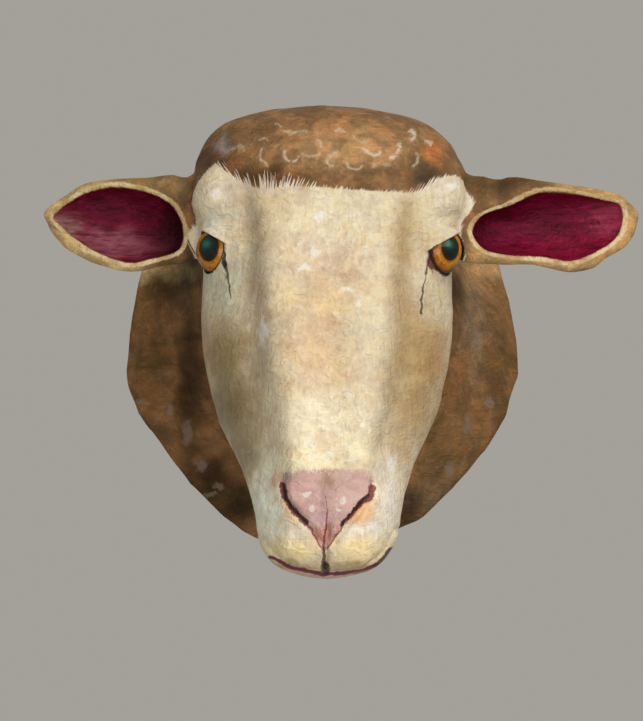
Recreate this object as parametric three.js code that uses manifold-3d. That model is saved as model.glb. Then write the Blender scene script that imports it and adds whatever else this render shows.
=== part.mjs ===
// A sheep's head in painted papier-mache, made to hang flat on a wall: a faceted collar against the wall, a
// flaring neck, the head with its brows, long nose and muzzle, two cupped ears, and two painted ball eyes.
// Millimetres, +Z up. The wall is the plane y = 0, the face looks along -Y, and the origin is the middle of
// the collar's flat back, where the head is hung.
import * as THREE from "three";
import { mergeVertices } from "three/addons/utils/BufferGeometryUtils.js";
import Module from "manifold-3d";

const wasm = await Module();
wasm.setup();

const HEAD_HEIGHT = 276; // crown to chin
const FACE_OFFSET = 3; // the head sits this far to the right of the collar's middle
const COLLAR_WIDTH = 257;
const COLLAR_HEIGHT = 250;
const COLLAR_EDGE = 9; // depth of the collar's edge, from the wall to where the neck starts to narrow
const COLLAR_UNDERCUT = 2.5; // how much smaller the outline is at the wall than at the edge's front
const LEFT_EAR_LENGTH = 86; // from the inner end of the opening to the tip
const RIGHT_EAR_LENGTH = 102;
const EAR_HEIGHT = 56;
const EAR_DEPTH = 24; // of the cup, at its deepest
const EAR_WALL = 5;
const EAR_TILT = 0.3; // how far the upper edge lies back, for each millimetre it is up
const EYE_RADIUS = 15;
const EYE_GAP = 0.3; // air between an eye and its socket
const GROOVE_WIDTH = 3.4; // of the cut lines of the nostrils, lips and mouth

// The free form of the head is worked out in hundredths of its height.
const HUNDREDTH = HEAD_HEIGHT / 100;

// Level sections of the head from crown to chin. z is the level, front and back are where the section meets
// the middle plane, half is half its width, bridge is the flat front's share of that half width, fall is how
// far the flat front's edge lies behind its middle and widest is where the section is widest, both as shares
// of the section's depth, and lean is how far it is shifted to the right.
const SECTIONS = [
  { z: 53.3, front: -38.4, back: -38.4, half: 0.0, bridge: 0.5, fall: 0.3, widest: 0.5, lean: -1.2 },
  { z: 50.8, front: -50.5, back: -26.5, half: 17.8, bridge: 0.5, fall: 0.16, widest: 0.5, lean: -0.8 },
  { z: 48.0, front: -55.0, back: -22.5, half: 23.6, bridge: 0.52, fall: 0.1, widest: 0.48, lean: -0.4 },
  { z: 42.4, front: -59.4, back: -18.8, half: 27.6, bridge: 0.55, fall: 0.08, widest: 0.44, lean: 0.3 },
  { z: 32.6, front: -63.8, back: -18.8, half: 29.6, bridge: 0.56, fall: 0.05, widest: 0.34, lean: 0.8 },
  { z: 20.7, front: -68.8, back: -21.0, half: 27.0, bridge: 0.54, fall: 0.04, widest: 0.44, lean: 0.3 },
  { z: 1.8, front: -77.5, back: -24.6, half: 26.3, bridge: 0.46, fall: 0.03, widest: 0.5, lean: 0.0 },
  { z: -12.7, front: -84.1, back: -30.1, half: 23.3, bridge: 0.43, fall: 0.03, widest: 0.5, lean: 0.0 },
  { z: -25.4, front: -89.5, back: -45.3, half: 17.2, bridge: 0.47, fall: 0.05, widest: 0.5, lean: 0.1 },
  { z: -33.3, front: -92.4, back: -57.2, half: 14.7, bridge: 0.58, fall: 0.07, widest: 0.5, lean: 0.2 },
  { z: -39.1, front: -92.0, back: -65.2, half: 13.6, bridge: 0.6, fall: 0.1, widest: 0.5, lean: 0.1 },
  { z: -43.4, front: -89.4, back: -70.5, half: 9.8, bridge: 0.6, fall: 0.14, widest: 0.5, lean: 0.0 },
  { z: -45.8, front: -80.4, back: -80.4, half: 0.0, bridge: 0.5, fall: 0.3, widest: 0.5, lean: 0.0 },
];
const REAR_WIDTH = 0.72; // share of the half width left at a section's rear corner
const REAR_CORNER = 0.88; // that corner's share of the section's depth
// Where the front's middle, its edge, the widest point, the rear corner and the back's middle come on the
// way round half a section.
const ROUND_KNOTS = [0, 0.25, 0.58, 0.85, 1];

// Swellings and hollows pushed out along the surface: place and reach on x, y and z, and the lift. Each one
// is made on both sides, and x is counted from the face's middle.
const FORMS = [
  { name: "brow", at: [24, -55, 33.8], reach: [5, 8, 6], lift: 2.1 },
  { name: "brow crease", at: [24, -56, 28.3], reach: [5, 7, 1.5], lift: -0.7 },
  { name: "cheek", at: [24, -55, 4], reach: [7, 9, 9], lift: 0.5 },
  { name: "muzzle waist", at: [16.5, -78, -24.5], reach: [5, 8, 4.5], lift: -0.9 },
  { name: "upper lip", at: [7, -92, -39.5], reach: [5.5, 6, 3.6], lift: 1.3 },
  { name: "nostril wing", at: [10, -90, -27], reach: [3.4, 5, 4], lift: 0.9 },
];

// The valley that runs down beside the nose from the hairline to the muzzle, as a line of x and z.
const VALLEY = [[19.2, 37], [18.0, 24], [17.2, 10], [16.8, 0], [14.8, -12], [13.2, -19]];
const VALLEY_DEPTH = 1.6;
const VALLEY_REACH = 3.0;
const FACE_IS_BEFORE = -45;

// Place of the eyes' middles and the way they look, from the face's middle.
const EYE_AT = [22.7, -54.3, 21.3];
const GAZE = [0.84, -0.54, 0.05];
const LID = { ring: 5.1, reach: 1.0, lift: 0.85 };
// The upper lid is a cap of paper over the eye's inner top: the way its middle points, and its half angle.
const UPPER_LID = [-0.5, 0, 0.86];
const LID_THICKNESS = 1.8;
// Each eye's shift from that place, and the half angle of its upper lid, in degrees.
const EYES = [
  { name: "left_eye", side: -1, shift: [0, 0, 0], lidAngle: 74 },
  { name: "right_eye", side: 1, shift: [0.4, -0.6, 0], lidAngle: 82 },
];

// The edge of the wool on the forehead: across, and its level. The wool stands a little proud of the face.
const HAIRLINE = [
  [-26, 39.5], [-19, 37], [-14.5, 34.4], [-8, 35], [0, 34.5], [9, 33.6], [19, 33.4], [24, 36], [29, 37],
];
const WOOL_LIFT = 0.8;
const WOOL_EDGE = 0.8;

// Cut lines of the face, as x and z.
const GROOVES = [
  {
    name: "nostril",
    line: [[8.9, -26.4], [8.4, -28.8], [6.3, -31.6], [4.0, -34], [1.2, -37.6]],
    sides: [-1, 1],
  },
  { name: "lip cleft", line: [[0, -34.5], [-0.3, -38.5], [-0.2, -44]], sides: [1] },
  {
    name: "mouth",
    line: [[-13.5, -37], [-11, -40.2], [-6.5, -42.6], [0, -43.7], [6.5, -42.9], [11.5, -40.2], [13.8, -36]],
    sides: [1],
  },
];
const GROOVE_DEPTH = 0.4; // share of the groove's width that is cut into the face

// The collar's corners, anticlockwise from the right, as shares of its half width and half height.
const COLLAR_CORNERS = [
  [0.99, 0.06], [0.93, 0.37], [0.84, 0.62], [0.62, 0.86], [0.3, 0.98], [-0.3, 0.99], [-0.64, 0.86],
  [-0.85, 0.62], [-0.93, 0.36], [-0.99, 0.02], [-1.0, -0.17], [-0.93, -0.32], [-0.74, -0.61],
  [-0.5, -0.86], [-0.32, -0.98], [0.2, -1.0], [0.4, -0.93], [0.52, -0.86], [0.8, -0.56], [0.93, -0.34],
  [1.0, -0.13],
];
const CORNER_ROUNDING = 0.25; // share of the way from the straight edges to a smooth outline

// Rings of the neck after the collar: distance in front of the wall, middle level, half width, half height,
// and the share of the collar's own outline left in an oval ring.
const NECK_RINGS = [
  { y: -10, z: 6, wide: 36.5, tall: 36, facets: 0.7 },
  { y: -20.5, z: 11, wide: 28.5, tall: 35.5, facets: 0.4 },
  { y: -31, z: 16, wide: 23.5, tall: 33.5, facets: 0.1 },
  { y: -43, z: 19, wide: 19, tall: 27, facets: 0 },
];

// The ears' outer edges and the edges of their openings, from the tip over the top to the root and back by
// the lower side, as shares of the ear's length out from the opening's inner end and of its height up. The
// root is in hundredths of the head's height, and the sweep, how far back the tip lies, is a share of the
// length.
const EARS = [
  {
    side: -1,
    length: LEFT_EAR_LENGTH,
    root: [-29.7, -49.3, 27.5],
    sweep: 0.2,
    outer: [
      [1.0, 0.13], [0.86, 0.3], [0.71, 0.435], [0.52, 0.485], [0.28, 0.5], [0.07, 0.53], [-0.17, 0.46],
      [-0.24, -0.05], [-0.14, -0.36], [0.15, -0.46], [0.36, -0.515],
      [0.6, -0.43], [0.79, -0.28], [0.94, -0.07],
    ],
    opening: [
      [0.925, 0.09], [0.815, 0.235], [0.69, 0.34], [0.5, 0.4], [0.28, 0.35], [0.115, 0.235], [0.025, 0.06],
      [0.0, -0.16], [0.05, -0.31], [0.22, -0.385], [0.37, -0.425],
      [0.57, -0.33], [0.755, -0.16], [0.87, -0.01],
    ],
  },
  {
    side: 1,
    length: RIGHT_EAR_LENGTH,
    root: [32.2, -52.9, 27.2],
    sweep: 0.245,
    outer: [
      [1.0, 0.09], [0.96, 0.22], [0.86, 0.34], [0.64, 0.42], [0.39, 0.48], [0.16, 0.51], [-0.1, 0.52],
      [-0.25, 0.1], [-0.14, -0.35], [0.14, -0.43], [0.35, -0.43],
      [0.57, -0.51], [0.75, -0.41], [0.91, -0.22],
    ],
    opening: [
      [0.9, 0.07], [0.88, 0.23], [0.765, 0.28], [0.59, 0.335], [0.4, 0.34], [0.215, 0.195], [0.06, 0.09],
      [0.0, -0.09], [0.07, -0.28], [0.225, -0.34], [0.4, -0.355],
      [0.56, -0.395], [0.705, -0.31], [0.85, -0.14],
    ],
  },
];
const CUP_MIDDLE = [0.42, 0]; // the deepest point of the cup, as shares of the ear's length and height
const TIP_DEPTH = 0.3; // share of the cup's depth left at the tip
const RIM_ROUND = 1.4; // how far the rim's crest stands in front of its edges

const HEAD_ROWS = 48;
const HEAD_COLUMNS = 54;
const NECK_COLUMNS = 42;
const EAR_COLUMNS = 26;
const GROOVE_SIDES = 6;
const STEP = 1e-3;

function clamp(value, low, high) {
  return Math.min(Math.max(value, low), high);
}

// A cubic curve through values at rising knots, with Catmull-Rom slopes; flat ends where asked.
function curveThrough(knots, values, flatEnds = false) {
  const last = knots.length - 1;
  const slope = knots.map((_, i) => {
    if (flatEnds && (i === 0 || i === last)) return 0;
    const a = Math.max(i - 1, 0);
    const b = Math.min(i + 1, last);
    return (values[b] - values[a]) / (knots[b] - knots[a]);
  });
  return (t) => {
    const at = clamp(t, knots[0], knots[last]);
    let i = 0;
    while (i < last - 1 && at > knots[i + 1]) i += 1;
    const span = knots[i + 1] - knots[i];
    const u = (at - knots[i]) / span;
    const u2 = u * u;
    const u3 = u2 * u;
    return (
      (2 * u3 - 3 * u2 + 1) * values[i] +
      (u3 - 2 * u2 + u) * span * slope[i] +
      (3 * u2 - 2 * u3) * values[i + 1] +
      (u3 - u2) * span * slope[i + 1]
    );
  };
}

// A closed curve through points, Catmull-Rom; eased says how much of its rounding is kept, 0 to 1.
function loopThrough(points, eased = 1) {
  const n = points.length;
  return (share) => {
    const place = (((share % 1) + 1) % 1) * n;
    const i = Math.floor(place);
    const u = place - i;
    return points[0].map((_, axis) => {
      const [p, a, b, q] = [-1, 0, 1, 2].map((k) => points[(i + k + n) % n][axis]);
      const straight = a + (b - a) * u;
      const smooth = a + 0.5 * u * (b - p + u * (2 * p - 5 * a + 4 * b - q + u * (3 * (a - b) + q - p)));
      return straight + (smooth - straight) * eased;
    });
  };
}

// The sections' knots: distance along the side of the head from crown to chin, as a share of the whole.
function sectionKnots() {
  const travelled = [0];
  for (let i = 1; i < SECTIONS.length; i += 1) {
    const a = SECTIONS[i - 1];
    const b = SECTIONS[i];
    const step = Math.hypot(b.z - a.z, b.half - a.half, (b.front - a.front) / 2);
    travelled.push(travelled[i - 1] + step);
  }
  return travelled.map((d) => d / travelled[travelled.length - 1]);
}

const KNOTS = sectionKnots();
const SECTION = {};
for (const column of Object.keys(SECTIONS[0])) {
  SECTION[column] = curveThrough(KNOTS, SECTIONS.map((row) => row[column]), column === "z");
}
const hairline = curveThrough(HAIRLINE.map((p) => p[0]), HAIRLINE.map((p) => p[1]));

// A point of the head before its features: down runs 0 to 1 from crown to chin, round runs -1 to 1 from the
// back by the left side, the front at 0, to the back again by the right side.
function plainHead(down, round) {
  const front = SECTION.front(down);
  const depth = Math.max(SECTION.back(down) - front, 0);
  const half = Math.max(SECTION.half(down), 0);
  const across = curveThrough(ROUND_KNOTS, [0, SECTION.bridge(down), 1, REAR_WIDTH, 0]);
  const behind = curveThrough(
    ROUND_KNOTS,
    [0, SECTION.fall(down), SECTION.widest(down), REAR_CORNER, 1],
    true,
  );
  const side = round < 0 ? -1 : 1;
  const t = Math.abs(round);
  return new THREE.Vector3(side * half * across(t), front + depth * behind(t), SECTION.z(down));
}

// The outward normal, from two small steps over the surface.
function headNormal(down, round) {
  const d = clamp(down, STEP, 1 - STEP);
  const along = plainHead(d + STEP, round).sub(plainHead(d - STEP, round));
  const around = plainHead(d, round + STEP).sub(plainHead(d, round - STEP));
  return along.cross(around).normalize();
}

function distanceToLine(x, z, line) {
  let nearest = Infinity;
  for (let i = 1; i < line.length; i += 1) {
    const [ax, az] = line[i - 1];
    const dx = line[i][0] - ax;
    const dz = line[i][1] - az;
    const t = clamp(((x - ax) * dx + (z - az) * dz) / (dx * dx + dz * dz), 0, 1);
    nearest = Math.min(nearest, Math.hypot(x - ax - t * dx, z - az - t * dz));
  }
  return nearest;
}

// How far the features push a point out, in hundredths.
function featureLift(p) {
  const x = Math.abs(p.x);
  let lift = 0;
  for (const form of FORMS) {
    const [a, b, c] = [x, p.y, p.z].map((v, i) => (v - form.at[i]) / form.reach[i]);
    lift += form.lift * Math.exp(-(a * a + b * b + c * c));
  }
  if (p.y < FACE_IS_BEFORE) {
    lift -= VALLEY_DEPTH * Math.exp(-((distanceToLine(x, p.z, VALLEY) / VALLEY_REACH) ** 2));
  }
  const fromEye = [x - EYE_AT[0], p.y - EYE_AT[1], p.z - EYE_AT[2]];
  const along = fromEye.reduce((sum, v, i) => sum + v * GAZE[i], 0);
  if (along > 0) {
    const off = Math.sqrt(Math.max(fromEye.reduce((sum, v) => sum + v * v, 0) - along * along, 0));
    lift += LID.lift * Math.exp(-(((off - LID.ring) / LID.reach) ** 2));
  }
  if (p.z > 25) {
    const wool = 1 / (1 + Math.exp(-(p.z - hairline(p.x)) / WOOL_EDGE));
    lift += WOOL_LIFT * wool;
  }
  return lift;
}

function headPoint(down, round) {
  const p = plainHead(down, round);
  const lift = featureLift(p);
  if (Math.abs(lift) > STEP) p.addScaledVector(headNormal(down, round), lift);
  p.x += SECTION.lean(down);
  p.multiplyScalar(HUNDREDTH);
  p.x += FACE_OFFSET;
  return p;
}

// Where a rising function reaches a value, by halving.
function solve(rising, value) {
  let low = 0;
  let high = 1;
  for (let i = 0; i < 30; i += 1) {
    const middle = (low + high) / 2;
    if (rising(middle) < value) low = middle;
    else high = middle;
  }
  return (low + high) / 2;
}

// The place on the front of the head at x and z.
function facePlace(x, z) {
  const down = solve((t) => -SECTION.z(t), -z);
  const widest = ROUND_KNOTS[2];
  const round = widest * solve((t) => plainHead(down, widest * t).x, Math.abs(x));
  return [down, x < 0 ? -round : round];
}

// A closed skin over rings of points; the first and last rings are closed with a fan to their middles.
function closedSkin(rings) {
  const columns = rings[0].length;
  const positions = rings.flat().flatMap((p) => [p.x, p.y, p.z]);
  const faces = [];
  for (let i = 0; i + 1 < rings.length; i += 1) {
    for (let j = 0; j < columns; j += 1) {
      const next = (j + 1) % columns;
      const [a, b] = [i * columns + j, i * columns + next];
      const [c, d] = [b + columns, a + columns];
      // The two halves are divided as each other's mirror image.
      faces.push(...(2 * j < columns ? [a, b, d, b, c, d] : [a, b, c, a, c, d]));
    }
  }
  for (const [ring, turn] of [[0, true], [rings.length - 1, false]]) {
    const middle = new THREE.Vector3();
    for (const p of rings[ring]) middle.addScaledVector(p, 1 / columns);
    const centre = positions.length / 3;
    positions.push(middle.x, middle.y, middle.z);
    for (let j = 0; j < columns; j += 1) {
      const a = ring * columns + j;
      const b = ring * columns + ((j + 1) % columns);
      faces.push(...(turn ? [b, a, centre] : [a, b, centre]));
    }
  }
  const geometry = new THREE.BufferGeometry();
  geometry.setAttribute("position", new THREE.BufferAttribute(new Float32Array(positions), 3));
  geometry.setIndex(faces);
  return geometry;
}

function solidOf(geometry) {
  const bare = geometry.clone();
  bare.deleteAttribute("normal");
  bare.deleteAttribute("uv");
  const merged = mergeVertices(bare, 1e-4);
  const vertProperties = merged.attributes.position.array;
  const triVerts = new Uint32Array(merged.index.array);
  const solid = new wasm.Manifold(new wasm.Mesh({ numProp: 3, vertProperties, triVerts }));
  if (solid.volume() > 0) return solid;
  // The rings ran the other way round, so each face is turned.
  for (let i = 0; i < triVerts.length; i += 3) {
    [triVerts[i], triVerts[i + 1]] = [triVerts[i + 1], triVerts[i]];
  }
  return new wasm.Manifold(new wasm.Mesh({ numProp: 3, vertProperties, triVerts }));
}

function geometryOf(solid) {
  const mesh = solid.getMesh();
  const geometry = new THREE.BufferGeometry();
  geometry.setAttribute("position", new THREE.BufferAttribute(new Float32Array(mesh.vertProperties), 3));
  geometry.setIndex(new THREE.BufferAttribute(new Uint32Array(mesh.triVerts), 1));
  const flat = geometry.toNonIndexed();
  flat.computeVertexNormals();
  return flat;
}

function headSolid() {
  const rings = [];
  for (let i = 1; i < HEAD_ROWS; i += 1) {
    const ring = [];
    for (let j = 0; j < HEAD_COLUMNS; j += 1) {
      const s = (2 * j) / HEAD_COLUMNS - 1;
      ring.push(headPoint(i / HEAD_ROWS, Math.sign(s) * Math.abs(s) ** 1.2));
    }
    rings.push(ring);
  }
  return solidOf(closedSkin(rings));
}

// A thin round bar that follows a line over the face, to be cut away.
function grooveSolid(line, side) {
  const radius = GROOVE_WIDTH / 2;
  const path = [];
  for (let i = 0; i + 1 < line.length; i += 1) {
    for (const u of [0, 0.5]) path.push(line[i].map((v, k) => v + (line[i + 1][k] - v) * u));
  }
  path.push(line[line.length - 1]);
  const middles = path.map(([x, z]) => {
    const place = facePlace(side * x, z);
    const sunk = radius * (1 - 2 * GROOVE_DEPTH);
    return headPoint(...place).addScaledVector(headNormal(...place), sunk);
  });
  const rings = middles.map((middle, i) => {
    const ahead = middles[Math.min(i + 1, middles.length - 1)].clone();
    const along = ahead.sub(middles[Math.max(i - 1, 0)]).normalize();
    const out = headNormal(...facePlace(side * path[i][0], path[i][1]));
    const across = along.clone().cross(out).normalize();
    const up = across.clone().cross(along);
    const thin = i === 0 || i === middles.length - 1 ? 0.45 : 1;
    return Array.from({ length: GROOVE_SIDES }, (_, k) => {
      const angle = (2 * Math.PI * k) / GROOVE_SIDES;
      const p = middle.clone().addScaledVector(across, Math.cos(angle) * radius * thin);
      return p.addScaledVector(up, Math.sin(angle) * radius * thin);
    });
  });
  return solidOf(closedSkin(rings));
}

function neckSolid() {
  const halfWidth = COLLAR_WIDTH / 2;
  const halfHeight = COLLAR_HEIGHT / 2;
  const along = loopThrough(COLLAR_CORNERS, CORNER_ROUNDING);
  const outline = Array.from({ length: NECK_COLUMNS }, (_, j) => along(j / NECK_COLUMNS));
  const collar = (y, cut) =>
    outline.map(([x, z]) => new THREE.Vector3(x * (halfWidth - cut), y, z * (halfHeight - cut)));
  const rings = [collar(0, COLLAR_UNDERCUT), collar(-COLLAR_EDGE, 0)];
  for (const ring of NECK_RINGS) {
    const shift = (FACE_OFFSET * ring.y) / NECK_RINGS[NECK_RINGS.length - 1].y;
    rings.push(
      outline.map(([x, z]) => {
        const angle = Math.atan2(z, x);
        const u = x * ring.facets + Math.cos(angle) * (1 - ring.facets);
        const v = z * ring.facets + Math.sin(angle) * (1 - ring.facets);
        return new THREE.Vector3(
          shift + ring.wide * HUNDREDTH * u,
          ring.y * HUNDREDTH,
          (ring.z + ring.tall * v) * HUNDREDTH,
        );
      }),
    );
  }
  return solidOf(closedSkin(rings));
}

// An ear as rings from the bottom of its cup, over the rim, to the back of its shell.
function earSolid(ear) {
  const outer = loopThrough(ear.outer);
  const opening = loopThrough(ear.opening);
  const swept = (along) => ear.sweep * ear.length * clamp(along, 0, 1) ** 2;
  const place = (along, up, y) =>
    new THREE.Vector3(
      ear.root[0] * HUNDREDTH + ear.side * along * ear.length,
      ear.root[1] * HUNDREDTH + y + swept(along) + EAR_TILT * up * EAR_HEIGHT,
      ear.root[2] * HUNDREDTH + up * EAR_HEIGHT,
    );
  const deep = (along) => EAR_DEPTH * (1 - (1 - TIP_DEPTH) * clamp(along, 0, 1) ** 1.5);
  const shell = (edge, share, thick) => {
    const [u, v] = edge.map((value, k) => CUP_MIDDLE[k] + (value - CUP_MIDDLE[k]) * share);
    return place(u, v, thick + deep(u) * (1 - share * share) ** 0.6);
  };
  const rings = [];
  const ways = Array.from({ length: EAR_COLUMNS }, (_, j) => j / EAR_COLUMNS);
  const ringOf = (point) => rings.push(ways.map(point));
  for (const share of [0.25, 0.5, 0.72, 0.88, 0.97]) ringOf((at) => shell(opening(at), share, 0));
  ringOf((at) => place(...opening(at), 0));
  ringOf((at) => {
    const [a, b] = [opening(at), outer(at)];
    return place((a[0] + b[0]) / 2, (a[1] + b[1]) / 2, -RIM_ROUND);
  });
  ringOf((at) => place(...outer(at), RIM_ROUND));
  for (const share of [0.97, 0.88, 0.72, 0.5, 0.25]) ringOf((at) => shell(outer(at), share, EAR_WALL));
  return solidOf(closedSkin(rings));
}

function eyeMiddle({ side, shift }) {
  const [out, y, z] = EYE_AT.map((v, k) => v + shift[k]);
  const lean = SECTION.lean(solve((t) => -SECTION.z(t), -z));
  return new THREE.Vector3(FACE_OFFSET + (lean + side * out) * HUNDREDTH, y * HUNDREDTH, z * HUNDREDTH);
}

function eyeball(radius, eye) {
  const middle = eyeMiddle(eye);
  return new THREE.SphereGeometry(radius, 18, 12).translate(middle.x, middle.y, middle.z);
}

// The lid as a solid cap; the eye's socket, cut later, leaves it a shell.
function upperLid(eye) {
  const radius = EYE_RADIUS + EYE_GAP + LID_THICKNESS;
  const angle = THREE.MathUtils.degToRad(eye.lidAngle);
  const profile = [new THREE.Vector2(0, 0.1 * radius)];
  const steps = 7;
  for (let i = 0; i <= steps; i += 1) {
    const turn = angle * (1 - i / steps);
    profile.push(new THREE.Vector2(radius * Math.sin(turn), radius * Math.cos(turn)));
  }
  const cap = new THREE.LatheGeometry(profile, 18);
  const way = new THREE.Vector3(eye.side * UPPER_LID[0], UPPER_LID[1], UPPER_LID[2]).normalize();
  cap.applyQuaternion(new THREE.Quaternion().setFromUnitVectors(new THREE.Vector3(0, 1, 0), way));
  const middle = eyeMiddle(eye);
  return solidOf(cap.translate(middle.x, middle.y, middle.z));
}

let head = headSolid().add(neckSolid());
for (const { line, sides } of GROOVES) {
  for (const side of sides) head = head.subtract(grooveSolid(line, side));
}
for (const ear of EARS) head = head.add(earSolid(ear));
for (const eye of EYES) {
  head = head.add(upperLid(eye)).subtract(solidOf(eyeball(EYE_RADIUS + EYE_GAP, eye)));
}

const paint = {
  papier_mache: new THREE.MeshStandardMaterial({ color: 0xd8c8a4, roughness: 0.6, metalness: 0 }),
  left_eye: new THREE.MeshStandardMaterial({ color: 0xb87410, roughness: 0.2, metalness: 0 }),
  right_eye: new THREE.MeshStandardMaterial({ color: 0xb87410, roughness: 0.2, metalness: 0 }),
};

const group = new THREE.Group();
const headMesh = new THREE.Mesh(geometryOf(head), paint.papier_mache);
headMesh.name = "sheep_head";
group.add(headMesh);
for (const eye of EYES) {
  const ball = new THREE.Mesh(eyeball(EYE_RADIUS, eye), paint[eye.name]);
  ball.name = eye.name;
  group.add(ball);
}

export default group;
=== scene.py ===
"""A papier-mache sheep's head for a wall: its pasted paper, its brushed paint and its two glossy eyes.

Lengths are worked out in millimetres and put into meshes in metres. x runs to the viewer's right, y into
the wall and z up. The wall lies where y is 0.
"""

import math

import bpy
import numpy as np
from mathutils import Euler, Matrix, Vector


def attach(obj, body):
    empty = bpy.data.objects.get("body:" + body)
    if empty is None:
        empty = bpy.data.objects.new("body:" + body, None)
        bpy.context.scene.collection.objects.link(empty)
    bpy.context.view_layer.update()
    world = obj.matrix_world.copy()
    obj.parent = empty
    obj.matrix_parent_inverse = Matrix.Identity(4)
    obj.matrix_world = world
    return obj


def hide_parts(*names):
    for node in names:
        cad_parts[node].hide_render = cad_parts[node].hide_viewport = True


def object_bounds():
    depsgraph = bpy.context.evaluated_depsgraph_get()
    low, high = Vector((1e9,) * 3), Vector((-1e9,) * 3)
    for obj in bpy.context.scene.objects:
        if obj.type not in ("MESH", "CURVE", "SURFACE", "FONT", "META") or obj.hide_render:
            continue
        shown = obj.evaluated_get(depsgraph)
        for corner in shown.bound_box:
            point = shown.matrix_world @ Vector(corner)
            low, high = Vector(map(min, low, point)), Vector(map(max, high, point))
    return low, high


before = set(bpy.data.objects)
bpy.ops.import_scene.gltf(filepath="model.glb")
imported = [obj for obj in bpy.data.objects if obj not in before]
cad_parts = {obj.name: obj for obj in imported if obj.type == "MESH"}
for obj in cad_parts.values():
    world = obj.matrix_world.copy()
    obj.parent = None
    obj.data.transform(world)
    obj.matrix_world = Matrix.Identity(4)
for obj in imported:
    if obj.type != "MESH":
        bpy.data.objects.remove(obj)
solid_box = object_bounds()

MM = 0.001

# Sizes.
HEAD_HEIGHT = 276.0
FACE_OFFSET = 3.0
COLLAR_WIDTH = 257.0
COLLAR_HEIGHT = 250.0
COLLAR_EDGE = 9.0
COLLAR_UNDERCUT = 2.5
EAR_HEIGHT = 56.0
EAR_DEPTH = 24.0
EAR_WALL = 5.0
EAR_TILT = 0.3
EYE_RADIUS = 15.0
EYE_GAP = 0.3
EYE_INSET = 0.1
LID_THICKNESS = 1.8
HUNDREDTH = HEAD_HEIGHT / 100

# Level sections of the head, crown to chin, in hundredths of its height: level, front, back, half width,
# the flat front's share of the half width, how far its edge falls back, where the section is widest, lean.
SECTIONS = np.array([
    (53.3, -38.4, -38.4, 0.0, 0.5, 0.3, 0.5, -1.2),
    (50.8, -50.5, -26.5, 17.8, 0.5, 0.16, 0.5, -0.8),
    (48.0, -55.0, -22.5, 23.6, 0.52, 0.1, 0.48, -0.4),
    (42.4, -59.4, -18.8, 27.6, 0.55, 0.08, 0.44, 0.3),
    (32.6, -63.8, -18.8, 29.6, 0.56, 0.05, 0.34, 0.8),
    (20.7, -68.8, -21.0, 27.0, 0.54, 0.04, 0.44, 0.3),
    (1.8, -77.5, -24.6, 26.3, 0.46, 0.03, 0.5, 0.0),
    (-12.7, -84.1, -30.1, 23.3, 0.43, 0.03, 0.5, 0.0),
    (-25.4, -89.5, -45.3, 17.2, 0.47, 0.05, 0.5, 0.1),
    (-33.3, -92.4, -57.2, 14.7, 0.58, 0.07, 0.5, 0.2),
    (-39.1, -92.0, -65.2, 13.6, 0.6, 0.1, 0.5, 0.1),
    (-43.4, -89.4, -70.5, 9.8, 0.6, 0.14, 0.5, 0.0),
    (-45.8, -80.4, -80.4, 0.0, 0.5, 0.3, 0.5, 0.0),
])
REAR_WIDTH = 0.72
REAR_CORNER = 0.88
ROUND_KNOTS = np.array([0, 0.25, 0.58, 0.85, 1])

# Swellings and hollows of the face: place, reach on each axis, and lift, in hundredths.
FORMS = {
    "brow": ((24, -55, 33.8), (5, 8, 6), 2.1),
    "brow crease": ((24, -56, 28.3), (5, 7, 1.5), -0.7),
    "cheek": ((24, -55, 4), (7, 9, 9), 0.5),
    "muzzle waist": ((16.5, -78, -24.5), (5, 8, 4.5), -0.9),
    "upper lip": ((7, -92, -39.5), (5.5, 6, 3.6), 1.3),
    "nostril wing": ((10, -90, -27), (3.4, 5, 4), 0.9),
}
VALLEY = ((19.2, 37), (18.0, 24), (17.2, 10), (16.8, 0), (14.8, -12), (13.2, -19))
VALLEY_DEPTH = 1.6
VALLEY_REACH = 3.0
EYE_AT = np.array((22.7, -54.3, 21.3))
GAZE = np.array((0.84, -0.54, 0.05))
LID_RING, LID_REACH, LID_LIFT = 5.1, 1.0, 0.85
# Each eye's side, its shift from that place and the half angle of its upper lid, in degrees.
EYES = {"left_eye": (-1, (0, 0, 0), 74), "right_eye": (1, (0.4, -0.6, 0), 82)}
HAIRLINE = (
    (-26, 39.5), (-19, 37), (-14.5, 34.4), (-8, 35), (0, 34.5), (9, 33.6), (19, 33.4), (24, 36), (29, 37),
)
WOOL_LIFT = 0.8
WOOL_EDGE = 0.8
NOSTRIL = ((8.9, -26.4), (8.4, -28.8), (6.3, -31.6), (4.0, -34), (1.2, -37.6))
LIP_CLEFT = ((0, -34.5), (-0.3, -38.5), (-0.2, -44))
MOUTH = ((-13.5, -37), (-11, -40.2), (-6.5, -42.6), (0, -43.7), (6.5, -42.9), (11.5, -40.2), (13.8, -36))
# Grooves on both sides of the face and across its middle: line, depth, half width.
PAIRED_GROOVES = ((NOSTRIL, 0.95, 0.62),)
SINGLE_GROOVES = ((LIP_CLEFT, 0.8, 0.6), (MOUTH, 0.7, 0.5))

COLLAR_CORNERS = np.array([
    (0.99, 0.06), (0.93, 0.37), (0.84, 0.62), (0.62, 0.86), (0.3, 0.98), (-0.3, 0.99), (-0.64, 0.86),
    (-0.85, 0.62), (-0.93, 0.36), (-0.99, 0.02), (-1.0, -0.17), (-0.93, -0.32), (-0.74, -0.61),
    (-0.5, -0.86), (-0.32, -0.98), (0.2, -1.0), (0.4, -0.93), (0.52, -0.86), (0.8, -0.56), (0.93, -0.34),
    (1.0, -0.13),
])
CORNER_ROUNDING = 0.25
# Rings of the neck in hundredths: y, middle level, half width, half height, share of the facets left.
NECK_RINGS = (
    (-10, 6, 36.5, 36, 0.7),
    (-20.5, 11, 28.5, 35.5, 0.4),
    (-31, 16, 23.5, 33.5, 0.1),
    (-43, 19, 19, 27, 0),
)

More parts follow.
